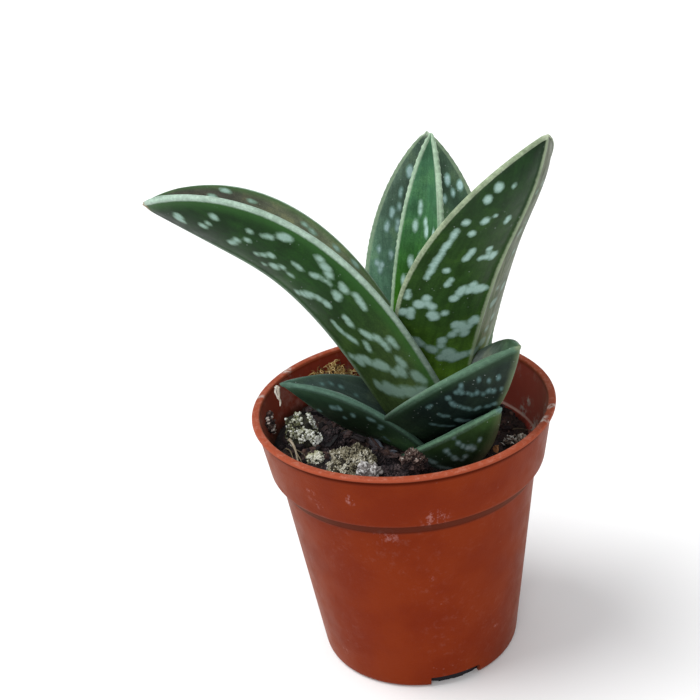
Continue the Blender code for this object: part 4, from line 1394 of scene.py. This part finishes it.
def soil_finish():
    """Two browns in patches, a violet cast, near-black spots of painted shade as of small hollows, red bits
    and pale specks, all by noise.
    """
    bench = Bench("dark_peat", Roughness=0.9, Specular_IOR_Level=0.35)
    fine = bench.noise(1400, 4, 0.7)
    patch = bench.patches((230, 4, 0.6), 0.35, 0.7)
    colour = bench.paint(tone(24, 17, 16), tone(54, 38, 32), patch)
    colour = bench.paint(colour, tone(42, 35, 42), bench.patches((330, 3), 0.5, 0.62, 0.0, 0.6))
    # painted shade: near-black spots by fine noise stand for the shade in small hollows between crumbs
    colour = bench.paint(colour, tone(18, 14, 14), bench.step(fine, 0.45, 0.75, 0.0, 0.6))
    colour = bench.paint(colour, tone(92, 58, 40), bench.patches((620, 3), 0.6, 0.74, 0.0, 0.5))
    specks = bench.specks(900, (0.14, 0.08), (260, 2), (0.56, 0.64))
    colour = bench.paint(colour, tone(170, 160, 145), specks, 0.7)
    rough = bench.step(fine, 0.35, 0.7, 0.95, 0.55)
    return bench.done(colour, rough, bench.relief(bench.noise(1800, 5, 0.75), 0.0004, 0.8))


piece_of("soil_heap", soil_mesh, soil_finish(), ["soil"])

# %% [markdown]
# ## Many small grains
#
# A crumb, a moss leaflet or a grain of lime is a small rough body with twenty faces. One mesh holds
# hundreds of them: the arrays of all copies are the one body stretched, turned and moved, each by its
# own seeded draw. Each copy also stores one number, its tone, by which the finish gives it its own
# shade.

# %% Grain helpers
GOLDEN = (1 + 5 ** 0.5) / 2
ICOSA_POINTS = np.array([
    (-1, GOLDEN, 0), (1, GOLDEN, 0), (-1, -GOLDEN, 0), (1, -GOLDEN, 0), (0, -1, GOLDEN), (0, 1, GOLDEN),
    (0, -1, -GOLDEN), (0, 1, -GOLDEN), (GOLDEN, 0, -1), (GOLDEN, 0, 1), (-GOLDEN, 0, -1), (-GOLDEN, 0, 1),
]) / np.hypot(1, GOLDEN)
ICOSA_FACES = np.array([
    (0, 11, 5), (0, 5, 1), (0, 1, 7), (0, 7, 10), (0, 10, 11), (1, 5, 9), (5, 11, 4), (11, 10, 2), (10, 7, 6),
    (7, 1, 8), (3, 9, 4), (3, 4, 2), (3, 2, 6), (3, 6, 8), (3, 8, 9), (4, 9, 5), (2, 4, 11), (6, 2, 10),
    (8, 6, 7), (9, 8, 1),
])


def unit(vectors):
    """The vectors, each divided by its length."""
    return vectors / np.linalg.norm(vectors, axis=-1, keepdims=True)


def frames_along(directions, chance):
    """Three square directions for each given one: itself as the third, and two across it turned by chance."""
    third = unit(directions)
    helper = unit(chance.normal(size=third.shape))
    first = unit(np.cross(helper, third))
    return np.stack([first, np.cross(third, first), third], axis=1)


def grains(places, directions, sizes, chance, ragged, tones=None, frames=None):
    """Copies of the 20-faced body: place + (corner·wobble·size), turned so that its third axis aims along."""
    count, corners = len(places), len(ICOSA_POINTS)
    wobble = 1 + ragged * chance.uniform(-1, 1, (count, corners, 1))
    local = ICOSA_POINTS[None] * wobble * sizes[:, None, :]
    frames = frames_along(directions, chance) if frames is None else frames
    points = (np.einsum("nvi,nij->nvj", local, frames) + places[:, None, :]).reshape(-1, 3)
    faces = (ICOSA_FACES[None] + corners * np.arange(count)[:, None, None]).reshape(-1, 3)
    tones = chance.random(count) if tones is None else tones
    return points, faces, np.repeat(tones, corners)


def joined_mesh(name, parts):
    """One mesh from several (points in mm, faces, tones)."""
    faces, start = [], 0
    for points, part_faces, _ in parts:
        faces += (part_faces + start).tolist()
        start += len(points)
    mesh = bpy.data.meshes.new(name)
    mesh.from_pydata((np.vstack([part[0] for part in parts]) * MM).tolist(), [], faces)
    shade = mesh.attributes.new("grain_tone", "FLOAT", "POINT")
    shade.data.foreach_set("value", np.concatenate([part[2] for part in parts]))
    return mesh


def grain_finish(name, palette, fine_scale=1500, roughness=0.85):
    """Each grain takes its shade from a row of screen tones by its own number, with fine noise over it."""
    bench = Bench(name, Roughness=roughness, Specular_IOR_Level=0.35)
    own = bench.node("Attribute")
    own.attribute_name = "grain_tone"
    fine = bench.maths("MULTIPLY_ADD", bench.noise(fine_scale, 3, 0.7), 0.5, -0.25)
    shade = bench.maths("ADD", own.outputs["Fac"], fine)
    colour = tone(*palette[0])
    for number, seen in enumerate(palette[1:]):
        low, high = number / (len(palette) - 1), (number + 1) / (len(palette) - 1)
        colour = bench.paint(colour, tone(*seen), bench.step(shade, low, high))
    return bench.done(colour, None, bench.relief(bench.noise(fine_scale * 1.6, 4, 0.7), 0.0002, 0.7))


print("one grain has", len(ICOSA_FACES), "faces")

# %% Loose crumbs on the soil
CRUMB_COUNT = 1900
BIT_COUNT = 170
CRUMBS_REACH = 23.6
CRUMB_TONES = ((16, 12, 14), (34, 25, 27), (56, 40, 38), (88, 66, 58), (196, 190, 182))


def on_soil(count, low, high, chance, sink=0.3):
    """Grains laid by chance, even over the disc, with size low + (high - low)·chance³ and partly sunk in."""
    radius = CRUMBS_REACH * np.sqrt(chance.random(count))
    angle = 2 * np.pi * chance.random(count)
    x, y = radius * np.cos(angle), radius * np.sin(angle)
    size = low + (high - low) * chance.random(count) ** 3
    shape = [chance.uniform(least, most, count) for least, most in ((0.6, 1.0), (0.8, 1.2), (0.9, 1.6))]
    sizes = size[:, None] * np.stack(shape, axis=1)
    places = np.stack([x, y, soil_height(x, y) + size * (1 - 2 * sink) / 2], axis=1)
    return places, chance.normal(size=(count, 3)) * (1, 1, 0.5), sizes


chance = np.random.default_rng(21)
crumbs = grains(*on_soil(CRUMB_COUNT, 0.16, 0.8, chance), chance, 0.35, chance.uniform(0, 0.72, CRUMB_COUNT))
bits = grains(*on_soil(BIT_COUNT, 0.1, 0.32, chance, 0.1), chance, 0.3, chance.uniform(1.2, 1.6, BIT_COUNT))
crumb_mesh = joined_mesh("soil_crumbs", [crumbs, bits])
piece_of("soil_crumbs", crumb_mesh, grain_finish("peat_crumbs", CRUMB_TONES))
print("crumbs:", CRUMB_COUNT + BIT_COUNT)

# %% Bark chips
CHIP_SHAPE = (0.28, 0.9, 1.5)
LOOSE_CHIPS = 60
CHIP_PLACES = np.array([
    (-4.4, 3.2, 42.6), (-2.4, 0.4, 42.7), (-1.2, -3.0, 42.6), (-6.4, 4.6, 42.4), (-3.4, -1.6, 42.3),
    (-0.6, -6.2, 42.2), (-13.6, 0.6, 43.2), (-11.8, 2.6, 43.1), (-15.2, 4.4, 43.2), (-9.2, 4.2, 42.9),
    (-13.2, -4.6, 42.3),
])
CHIP_AIMS = np.array([
    (0.7, -0.9, -0.1), (0.5, -0.9, 0.0), (0.8, -0.6, -0.1), (0.9, -0.4, 0.1), (0.6, -0.8, 0.2),
    (0.9, -0.3, 0.0), (0.4, 0.9, 0.1), (0.9, 0.2, 0.2), (0.3, 0.9, 0.0), (0.8, 0.5, 0.1), (0.9, 0.4, 0.0),
])
CHIP_SIZES = np.array([1.5, 1.6, 1.3, 1.1, 1.2, 0.9, 1.5, 1.2, 1.3, 1.1, 1.2])


def chips(places, directions, sizes, chance):
    """Flat ragged chips: the 20-faced body made long and thin."""
    return grains(places, directions, sizes * CHIP_SHAPE, chance, 0.3)


def bark_slab(centre, along, facing, length, width, flakes, middle_tone, chance):
    """A slab as thin flakes side by side: centre + side·step·width, each shifted a little along and out."""
    along = unit(np.array(along, float))
    side = unit(np.cross(facing, along))
    out = np.cross(along, side)
    step = np.linspace(-0.5, 0.5, flakes)[:, None]
    places = centre + side * step * width
    places = places + along * chance.normal(0, 0.12 * length, (flakes, 1))
    places = places + out * chance.normal(0, 0.14, (flakes, 1))
    sizes = np.stack([chance.uniform(0.16, 0.3, flakes), chance.uniform(0.7, 1.3, flakes) * width / flakes,
                      chance.uniform(0.3, 0.55, flakes) * length], axis=1)
    frames = np.repeat(np.stack([out, side, along])[None], flakes, axis=0)
    return grains(places, None, sizes, chance, 0.3, middle_tone + chance.normal(0, 0.07, flakes), frames)


SLABS = (  # centre, direction, the way it faces, length and width in mm, flakes, tone
    ((-5.5, -3.0, 43.4), (0.55, -0.7, -0.45), (-0.2, -0.6, 0.8), 4.4, 1.1, 4, 0.93),
    ((-8.4, 0.4, 43.3), (0.85, -0.5, -0.15), (0.1, -0.6, 0.8), 3.6, 1.1, 4, 0.34),
    ((-2.6, -6.3, 43.1), (0.9, -0.35, 0.1), (-0.1, -0.7, 0.7), 2.6, 1.2, 4, 0.72),
    ((-3.9, -5.0, 43.2), (0.7, -0.7, 0.0), (0.0, -0.6, 0.8), 2.2, 0.9, 3, 0.66),
    ((-10.6, 1.6, 43.4), (0.9, -0.2, 0.1), (0.0, -0.7, 0.7), 2.0, 1.0, 4, 0.7),
    ((-9.6, -0.6, 42.9), (0.6, 0.7, 0.0), (0.1, -0.7, 0.7), 1.8, 0.8, 3, 0.74),
    ((-12.6, -3.6, 42.8), (0.5, -0.8, 0.2), (0.2, -0.6, 0.8), 1.9, 0.8, 3, 0.3),
)
CHIP_TONES = ((14, 12, 15), (30, 26, 30), (46, 36, 37), (68, 49, 46), (88, 96, 106))
chance = np.random.default_rng(22)
few_places, few_aims, few_sizes = on_soil(LOOSE_CHIPS, 0.5, 1.2, chance)
chip_parts = [
    chips(CHIP_PLACES, CHIP_AIMS, CHIP_SIZES[:, None] * np.ones(3), chance),
    chips(few_places, few_aims * (1, 1, 0.2), few_sizes, chance),
    *(bark_slab(*slab, chance) for slab in SLABS),
]
chip_mesh = joined_mesh("bark_chips", chip_parts)
piece_of("bark_chips", chip_mesh, grain_finish("dark_bark", CHIP_TONES, 1100, 0.6))
print("chips:", len(CHIP_PLACES) + LOOSE_CHIPS)

# %% [markdown]
# ## Clumps, stones and moss
#
# On the soil lie clumps that the photograph shows plainly: a crusted moss clump at the left, a tan
# clump of litter with a pale stone beside it, a brown clump of bark flakes in front of the leaves and
# a golden moss tuft at the back. Each is a dark lumpy core under a close coat of beads, grains or
# flakes. The coat follows the core's bumps, and shade is painted into it: a grain is painted paler
# the further out it stands, so that the gaps between grains stay dark.

# %% Lump core and coat
CORE_RINGS = 36
CORE_SIDES = 48
CORE_SHARE = 0.94


def placed(points, centre, turn):
    """Points turned about the upright by an angle in degrees and moved to the centre."""
    angle = np.radians(turn)
    spin = np.array([(np.cos(angle), np.sin(angle), 0), (-np.sin(angle), np.cos(angle), 0), (0, 0, 1)])
    return points @ spin + np.array(centre)


def bumps(ways, lump):
    """How far the lump's skin stands out along each way: 1 + rough·noise of its own grain size."""
    place = ways * lump["half"] / lump["bump"] + lump["shift"]
    return 1 + lump["rough"] * np.clip(layered_noise(place, 2, 8), -1.2, 1.2)


def core(lump):
    """A ball of rings and spokes with closed poles, squashed to the half sizes and swollen by its bumps."""
    polar = np.linspace(0, np.pi, CORE_RINGS)[1:-1, None]
    spoke = 2 * np.pi * np.arange(CORE_SIDES) / CORE_SIDES
    level = np.sin(polar)
    ball = np.stack([level * np.cos(spoke), level * np.sin(spoke), np.cos(polar) + 0 * spoke], axis=-1)
    ball = np.vstack([ball.reshape(-1, 3), [(0, 0, 1), (0, 0, -1)]])
    skin = ball * lump["half"] * CORE_SHARE * bumps(ball, lump)[:, None]
    points = off_the_wall(placed(skin, lump["centre"], lump["turn"]))
    return points, capped_triangles(CORE_RINGS - 2, CORE_SIDES), np.full(len(points), lump["core_tone"])


def coat(lump, count, size, chance, low, proud=0.5):
    """Grains over the lump's skin above a level: places, aims, sizes, ways out and how proud each stands."""
    way = unit(chance.normal(size=(4 * count, 3)))
    way = way[way[:, 2] > low][:count]
    normal = unit(way / lump["half"])
    skin = way * lump["half"] * bumps(way, lump)[:, None]
    lift = chance.uniform(-proud, proud, (len(way), 1)) * size[2]
    places = off_the_wall(placed(skin + normal * lift, lump["centre"], lump["turn"]), 0.3 + 0.8 * size[0])
    aim = placed(normal, (0, 0, 0), lump["turn"]) + 0.5 * chance.normal(size=normal.shape)
    sizes = np.array(size) * chance.uniform(0.6, 1.35, (len(way), 1))
    return places, aim, sizes, way, lift[:, 0] / size[2]


def clump(name, nodes, centre, half, turn, bump, rough, layers, palette, seed, pale_way=(0, -0.4, 0.9),
          pull=0.3, ragged=0.3, smooth=True, patch=0.35, core_tone=0.06, bare=-9.0, mixed=0.1):
    """A core and its coats; each layer is (count, size of a grain, middle tone, the level it starts from).

    A grain's tone is the middle tone + patches + pull towards the pale way + how far it stands out, mixed
    bead by bead; the last term is painted shade that keeps grains deep in the gaps dark. Where soft noise
    is below the bare level no grain lies, so the dark core shows in pits."""
    chance = np.random.default_rng(seed)
    lump = dict(centre=np.array(centre), half=np.array(half), turn=turn, bump=bump, rough=rough,
                shift=chance.uniform(0, 40, 3), core_tone=core_tone)
    parts = [core(lump)]
    for count, size, middle_tone, low in layers:
        places, aim, sizes, way, proud = coat(lump, count, size, chance, low)
        skin = way * lump["half"]
        patches = patch * soft_noise(skin / 1.6 + lump["shift"], 9)
        towards = pull * (way @ unit(np.array(pale_way)))
        # painted shade: grains that stand out less are darker, so the gaps look shaded
        painted_gap_shade = 0.22 * proud + 0.45 * (bumps(way, lump) - 1)
        tones = middle_tone + patches + towards + painted_gap_shade + chance.normal(0, mixed, len(way))
        kept = soft_noise(skin / 0.8 + lump["shift"] + 7, 12) > bare
        tones = np.clip(tones, 0, 1)[kept]
        parts.append(grains(places[kept], aim[kept], sizes[kept], chance, ragged, tones))
    mesh = facing_out(joined_mesh(name, parts))
    if smooth:
        mesh.shade_smooth()
    piece_of(name, mesh, grain_finish(name + "_matter", palette, 1500, 0.88), nodes)


print("points on a core:", (CORE_RINGS - 2) * CORE_SIDES + 2)

# %% The clumps seen in front
CRUST_TONES = ((24, 22, 16), (62, 62, 38), (120, 122, 90), (186, 188, 172), (228, 230, 224))
clump(
    "crusted_moss", ["crusted_moss_clump"], (-19.1, 3.0, 42.9), (2.7, 3.7, 3.4), 15, 1.7, 0.48,
    ((1900, (0.22, 0.22, 0.28), 0.38, -0.5), (620, (0.15, 0.15, 0.22), 0.56, 0.0)), CRUST_TONES, 31,
    pale_way=(0.8, -0.5, 0.3), ragged=0.14, patch=0.3, bare=-0.1, mixed=0.25)
TAN_TONES = ((34, 30, 24), (78, 72, 54), (120, 114, 92), (164, 158, 138), (206, 204, 190))
clump(
    "tan_litter", ["tan_litter_clump"], (-9.9, -8.8, 42.7), (4.2, 3.8, 2.9), -10, 1.3, 0.3,
    ((2600, (0.16, 0.16, 0.24), 0.46, -0.5), (800, (0.09, 0.09, 0.3), 0.68, 0.0)), TAN_TONES, 32,
    pale_way=(-0.6, -0.3, 0.7), pull=0.22, ragged=0.35, patch=0.4, bare=-0.36)
STONE_TONES = ((38, 32, 32), (78, 70, 68), (114, 108, 106), (154, 150, 148), (196, 194, 192))
clump(
    "pale_lump", ["pale_stone"], (-7.0, -14.0, 44.0), (2.1, 1.8, 1.6), 25, 1.1, 0.4,
    ((110, (0.2, 0.5, 0.34), 0.5, -0.5), (60, (0.1, 0.1, 0.2), 0.75, 0.1)), STONE_TONES, 33,
    pale_way=(-0.2, 0.1, 1.0), pull=0.42, core_tone=0.42)
NIGHT_TONES = ((12, 10, 13), (26, 21, 26), (46, 36, 38), (84, 72, 72))
clump(
    "dark_soil_lump", ["dark_soil_clump"], (-3.0, -13.4, 42.7), (2.4, 2.1, 1.8), 5, 1.0, 0.34,
    ((500, (0.24, 0.24, 0.3), 0.35, -0.5),), NIGHT_TONES, 34, smooth=False)
FLAKE_TONES = ((26, 18, 20), (56, 40, 38), (88, 68, 62), (150, 132, 122), (206, 196, 188))
clump(
    "bark_lump", ["brown_bark_clump"], (0.9, -10.6, 43.1), (1.9, 1.7, 2.5), 40, 1.2, 0.35,
    ((560, (0.09, 0.34, 0.62), 0.22, -0.6), (90, (0.1, 0.14, 0.3), 0.7, 0.1)), FLAKE_TONES, 35,
    pale_way=(0.1, 0.3, 0.9), pull=0.26, ragged=0.35, smooth=False, bare=-0.3)
RIGHT_TONES = ((24, 18, 18), (60, 46, 40), (122, 108, 96), (206, 202, 192), (232, 230, 224))
clump(
    "right_crumbs", ["right_crumb_clump"], (20.2, -1.6, 40.0), (2.0, 2.4, 1.4), 10, 0.9, 0.4,
    ((430, (0.22, 0.22, 0.3), 0.14, -0.5), (90, (0.08, 0.1, 0.5), 0.7, 0.1)), RIGHT_TONES, 36,
    pale_way=(0.5, 0.6, 0.6), pull=0.34, smooth=False)
PEBBLE_TONES = ((110, 74, 46), (170, 120, 78), (206, 160, 112))
clump(
    "small_pebble", ["tan_pebble"], (16.2, -2.7, 40.0), (0.8, 1.1, 0.85), 0, 1.2, 0.12,
    ((12, (0.2, 0.2, 0.2), 0.5, -0.4),), PEBBLE_TONES, 37, core_tone=0.5)

# %% Smaller clumps without a node of their own
SMALL_TONES = ((34, 30, 20), (92, 92, 62), (146, 146, 112), (196, 196, 172), (222, 222, 208))
SMALL_CLUMPS = (  # name, centre, half sizes, beads, tones, slot, middle tone
    ("small_moss_left", (-16.7, -4.8, 42.3), (1.7, 1.4, 1.5), 460, SMALL_TONES, "moss", 0.48),
    ("small_moss_front", (-14.0, -11.0, 41.8), (1.4, 1.2, 1.2), 380, SMALL_TONES, "moss", 0.5),
    ("dark_mound_left", (-13.7, 2.0, 41.8), (3.7, 3.3, 2.0), 900, NIGHT_TONES, "potting_soil", 0.3),
    ("dark_mound_front", (-4.8, -5.2, 41.2), (3.0, 2.7, 1.8), 650, NIGHT_TONES, "potting_soil", 0.35),
    ("white_crumb_right", (21.2, -0.6, 41.1), (0.7, 0.7, 0.5), 120, RIGHT_TONES, "potting_soil", 0.55),
)
FIRST_SMALL_SEED = 41
for number, (name, centre, half, beads, palette, slot, middle) in enumerate(SMALL_CLUMPS):
    layer = (beads, (0.2, 0.22, 0.26), middle, -0.3)
    clump(name, (), centre, half, 20, 1.0, 0.32, (layer,), palette, FIRST_SMALL_SEED + number)

# %% [markdown]
# Through the drain notches at the foot of the wall the dark soil shows. A small rough dark plug sits
# just inside each notch, clear of the floor that the pot stands on; it is that soil and also a painted
# shade for the dark gap under the pot.

# %% Soil and painted shade in the drain notches
PLUG_REACH = 16.8
PLUG_HEIGHT = 0.78
PLUG_HALF = (1.6, 5.6, 0.7)
plug_parts = []
for number, bearing in enumerate(NOTCH_BEARINGS):
    turn = np.radians(bearing)
    plug_parts.append(core(dict(
        centre=(PLUG_REACH * np.cos(turn), PLUG_REACH * np.sin(turn), PLUG_HEIGHT), half=np.array(PLUG_HALF),
        turn=bearing, bump=0.7, rough=0.2, shift=np.full(3, 3.0 * number), core_tone=0.3)))
# a dark plug: soil, and painted shade for the gap under the pot
plug_mesh = facing_out(joined_mesh("notch_soil_and_shade", plug_parts))
piece_of("notch_soil_and_shade", plug_mesh, grain_finish("notch_peat_and_shade", NIGHT_TONES))

# %% [markdown]
# The golden tuft is dry moss: hundreds of thin curled strands rising from a small core. A strand is a
# round profile carried along a curve that winds as it rises.

# %% Strands
STRAND_SIDES = 5
STRAND_STATIONS = 9
STRAND_END = 0.45


def strand(path, thick):
    """A round tube along a path in mm, thinning to its end: centre + radius·(cos·first + sin·second)."""
    ahead = unit(np.gradient(path, axis=0))
    first = unit(np.cross(ahead, (0.31, 0.17, 0.93)))
    second = np.cross(ahead, first)
    angle = 2 * np.pi * np.arange(STRAND_SIDES)[:, None] / STRAND_SIDES
    radius = (thick * np.linspace(1, STRAND_END, len(path)))[:, None, None]
    ring = path[:, None] + radius * (np.cos(angle) * first[:, None] + np.sin(angle) * second[:, None])
    points = np.vstack([ring.reshape(-1, 3), path[:1], path[-1:]])
    return points, capped_triangles(len(path), STRAND_SIDES)


def curled_path(root, aim, length, curl, chance):
    """Root + length·t·aim, wound round it by curl·t·(cos, sin) of a growing angle, and drooping by t²."""
    t = np.linspace(0, 1, STRAND_STATIONS)[:, None]
    first, second, third = frames_along(np.array([aim]), chance)[0]
    phase = chance.uniform(0, 2 * np.pi)
    winding = phase + chance.uniform(2.5, 6.0) * t
    sideways = curl * t * (np.cos(winding) * first + np.sin(winding) * second)
    droop = -0.35 * length * t ** 2 * np.array([0, 0, 1])
    return np.array(root) + length * t * third + sideways + droop


def strand_tuft(lump, count, length, thick, curl, chance):
    """Strands rooted on the upper half of the lump, each with its own aim, length and tone."""
    roots, aims = coat(lump, count, (1, 1, 1), chance, 0.0, proud=0.0)[:2]
    parts = []
    for root, aim in zip(roots, aims):
        path = off_the_wall(curled_path(root, aim, length * chance.uniform(0.5, 1.2), curl, chance), 0.35)
        points, faces = strand(path, thick * chance.uniform(0.7, 1.2))
        parts.append((points, faces, np.full(len(points), chance.random())))
    return parts


GOLD_TONES = ((66, 46, 22), (122, 92, 46), (166, 134, 76), (206, 184, 132))
GOLD_LUMP = dict(
    centre=(-12.2, 16.5, 45.4), half=np.array((4.4, 2.9, 3.7)), turn=-25, bump=1.4, rough=0.3,
    shift=np.zeros(3), core_tone=0.1)
strands = strand_tuft(GOLD_LUMP, 300, 2.1, 0.13, 0.5, np.random.default_rng(51))
gold_mesh = facing_out(joined_mesh("golden_moss", [core(GOLD_LUMP), *strands]))
gold_finish = grain_finish("dry_moss", GOLD_TONES, 1300, 0.85)
piece_of("golden_moss", gold_mesh, gold_finish, ["golden_moss_tuft"])
print("golden strands:", len(strands))

# %% Fibres and straws
FIBRES = (  # from, to, thickness in mm, how far its middle bows up
    ((-22.3, -0.4, 42.6), (-19.6, -6.2, 41.6), 0.16, 0.9),
    ((-21.2, 0.4, 43.4), (-18.9, -5.2, 41.9), 0.2, 0.7),
    ((-20.4, -1.0, 42.8), (-17.6, -6.6, 41.8), 0.15, 1.0),
    ((-21.3, -0.3, 44.4), (-19.5, -5.0, 41.9), 0.33, 0.25),
    ((19.6, 1.2, 41.9), (24.2, -1.2, 42.6), 0.1, 0.15), ((-6.0, 4.6, 42.9), (-1.4, -2.0, 42.9), 0.14, 0.4),
    ((-14.5, 0.5, 42.9), (-10.2, 3.6, 43.2), 0.12, 0.5), ((5.5, -14.4, 41.6), (9.8, -12.8, 41.4), 0.12, 0.5),
    ((13.0, 9.0, 41.0), (17.5, 5.0, 40.6), 0.13, 0.6), ((4.0, 18.5, 41.6), (9.5, 16.0, 41.4), 0.13, 0.6),
    ((-3.0, 19.0, 42.0), (2.2, 20.6, 41.8), 0.14, 0.5),
)
FIBRE_STATIONS = 14
STRAW_TONES = ((50, 42, 32), (92, 80, 62), (132, 118, 94), (180, 168, 148))


def bowed_path(start, end, bow, chance):
    """Points from start to end, the middle raised by bow·4t(1-t) and pushed sideways a little."""
    t = np.linspace(0, 1, FIBRE_STATIONS)[:, None]
    start, end = np.array(start), np.array(end)
    sideways = unit(np.cross(end - start, (0, 0, 1)))
    wave = 0.25 * np.sin(np.pi * t * chance.uniform(1.0, 2.4)) * chance.choice([-1, 1])
    return start + (end - start) * t + bow * 4 * t * (1 - t) * np.array([0, 0, 1]) + wave * sideways


chance = np.random.default_rng(52)
fibre_parts = []
for start, end, thick, bow in FIBRES:
    points, faces = strand(bowed_path(start, end, bow, chance), thick)
    fibre_parts.append((points, faces, np.full(len(points), chance.uniform(0.2, 0.9))))
fibre_mesh = facing_out(joined_mesh("straw_fibres", fibre_parts))
fibre_mesh.shade_smooth()
piece_of("straw_fibres", fibre_mesh, grain_finish("straw", STRAW_TONES, 900, 0.7))
print("fibres:", len(FIBRES))

# %% [markdown]
# The dead tip of the low left leaf has dried to a pale papery shred that hangs from it. It is a few
# narrow crumpled strips side by side.

# %% The dried shred
SHRED_TOP = np.array((-21.65, -6.2, 58.4))
SHRED_STRIPS = (  # shift, drop and length in mm
    (-0.35, 0.1, 2.4), (-0.05, 0.2, 4.2), (0.25, 0.1, 3.0), (0.05, -0.3, 3.6),
)
SHRED_WIDTH = 0.26
SHRED_THICK = 0.09
SHRED_TONES = ((120, 108, 92), (172, 162, 146), (212, 206, 194))


def shred_strip(top, length, chance):
    """A strip hanging down: a thin flattened section carried along a crumpled path."""
    t = np.linspace(0, 1, 12)[:, None]
    wander = soft_noise(np.hstack([t * 4, 0 * t, 0 * t]) + chance.uniform(0, 30, 3), 2)[:, None]
    path = top + np.array([0, 0, -1.0]) * length * t + 0.24 * wander * (1.0, 0.6, 0.0)
    points, faces = strand(path, 1.0)
    body = points[:-2].reshape(len(path), STRAND_SIDES, 3) - path[:, None]
    flat = np.array([SHRED_WIDTH, SHRED_THICK, 1.0]) * (1 - 0.55 * t[:, None] ** 2)
    points[:-2] = (path[:, None] + body * flat).reshape(-1, 3)
    return points, faces, np.full(len(points), chance.uniform(0.3, 1.0))


chance = np.random.default_rng(53)
shred_parts = [
    shred_strip(SHRED_TOP + np.array((shift, 0.25 * (number % 2), drop)), length, chance)
    for number, (shift, drop, length) in enumerate(SHRED_STRIPS)
]
shred_mesh = facing_out(joined_mesh("dried_shred", shred_parts))
shred_mesh.shade_smooth()
shred_finish = grain_finish("papery", SHRED_TONES, 1600, 0.8)
piece_of("dried_shred", shred_mesh, shred_finish, ["dried_leaf_tip"])

# %% Crumbs stuck on the inside wall
WALL_PLACES = ((-24.8, 3.9, 47.0), (-24.8, 2.7, 46.7), (-24.7, 3.5, 46.0), (-24.6, 2.8, 45.4))
WALL_GRAINS = 44
WALL_SPREAD = (0.1, 0.6, 0.5)
WALL_GRAIN_SIZE = (0.2, 0.26, 0.36)


def wall_crumbs():
    """Grains scattered round four places on the wall, each moved out to between 0.2 and 1 mm from it."""
    chance = np.random.default_rng(54)
    centres = np.repeat(np.array(WALL_PLACES), WALL_GRAINS, axis=0)
    places = centres + chance.normal(size=centres.shape) * WALL_SPREAD
    reach = wall_radius(places[:, 2]) - chance.uniform(0.2, 1.0, len(places))
    places[:, :2] *= (reach / np.hypot(places[:, 0], places[:, 1]))[:, None]
    sizes = chance.uniform(0.6, 1.3, (len(places), 1)) * WALL_GRAIN_SIZE
    return grains(places, places * (-1, -1, 0) + (0, 0, 8), sizes, chance, 0.35)


wall_mesh = joined_mesh("wall_crumbs", [wall_crumbs()])
piece_of("wall_crumbs", wall_mesh, grain_finish("stuck_crumbs", FLAKE_TONES, 1500, 0.85))

# %% [markdown]
# ## The stem
#
# Only a little of the stem could ever be seen, deep between the leaves, so its plain solid stays and
# gets a dry, ringed skin.

# %% Stem finish

def stem_finish():
    """Two dry browns in rings: noise that is nearly six times as fine along the stem as across it."""
    bench = Bench("stem_skin", Roughness=0.8, Specular_IOR_Level=0.3)
    bands = bench.noise(1.0, 3, 0.6, bench.stretched(160, 160, 900))
    colour = bench.paint(tone(112, 100, 60), tone(74, 62, 38), bench.step(bands, 0.4, 0.65))
    return bench.done(colour, None, bench.relief(bands, 0.0003, 0.6))


stem_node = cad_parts["stem"]
stem_skin = stem_finish()
if stem_node.material_slots:
    stem_node.material_slots[0].material = stem_skin
else:
    stem_node.data.materials.append(stem_skin)
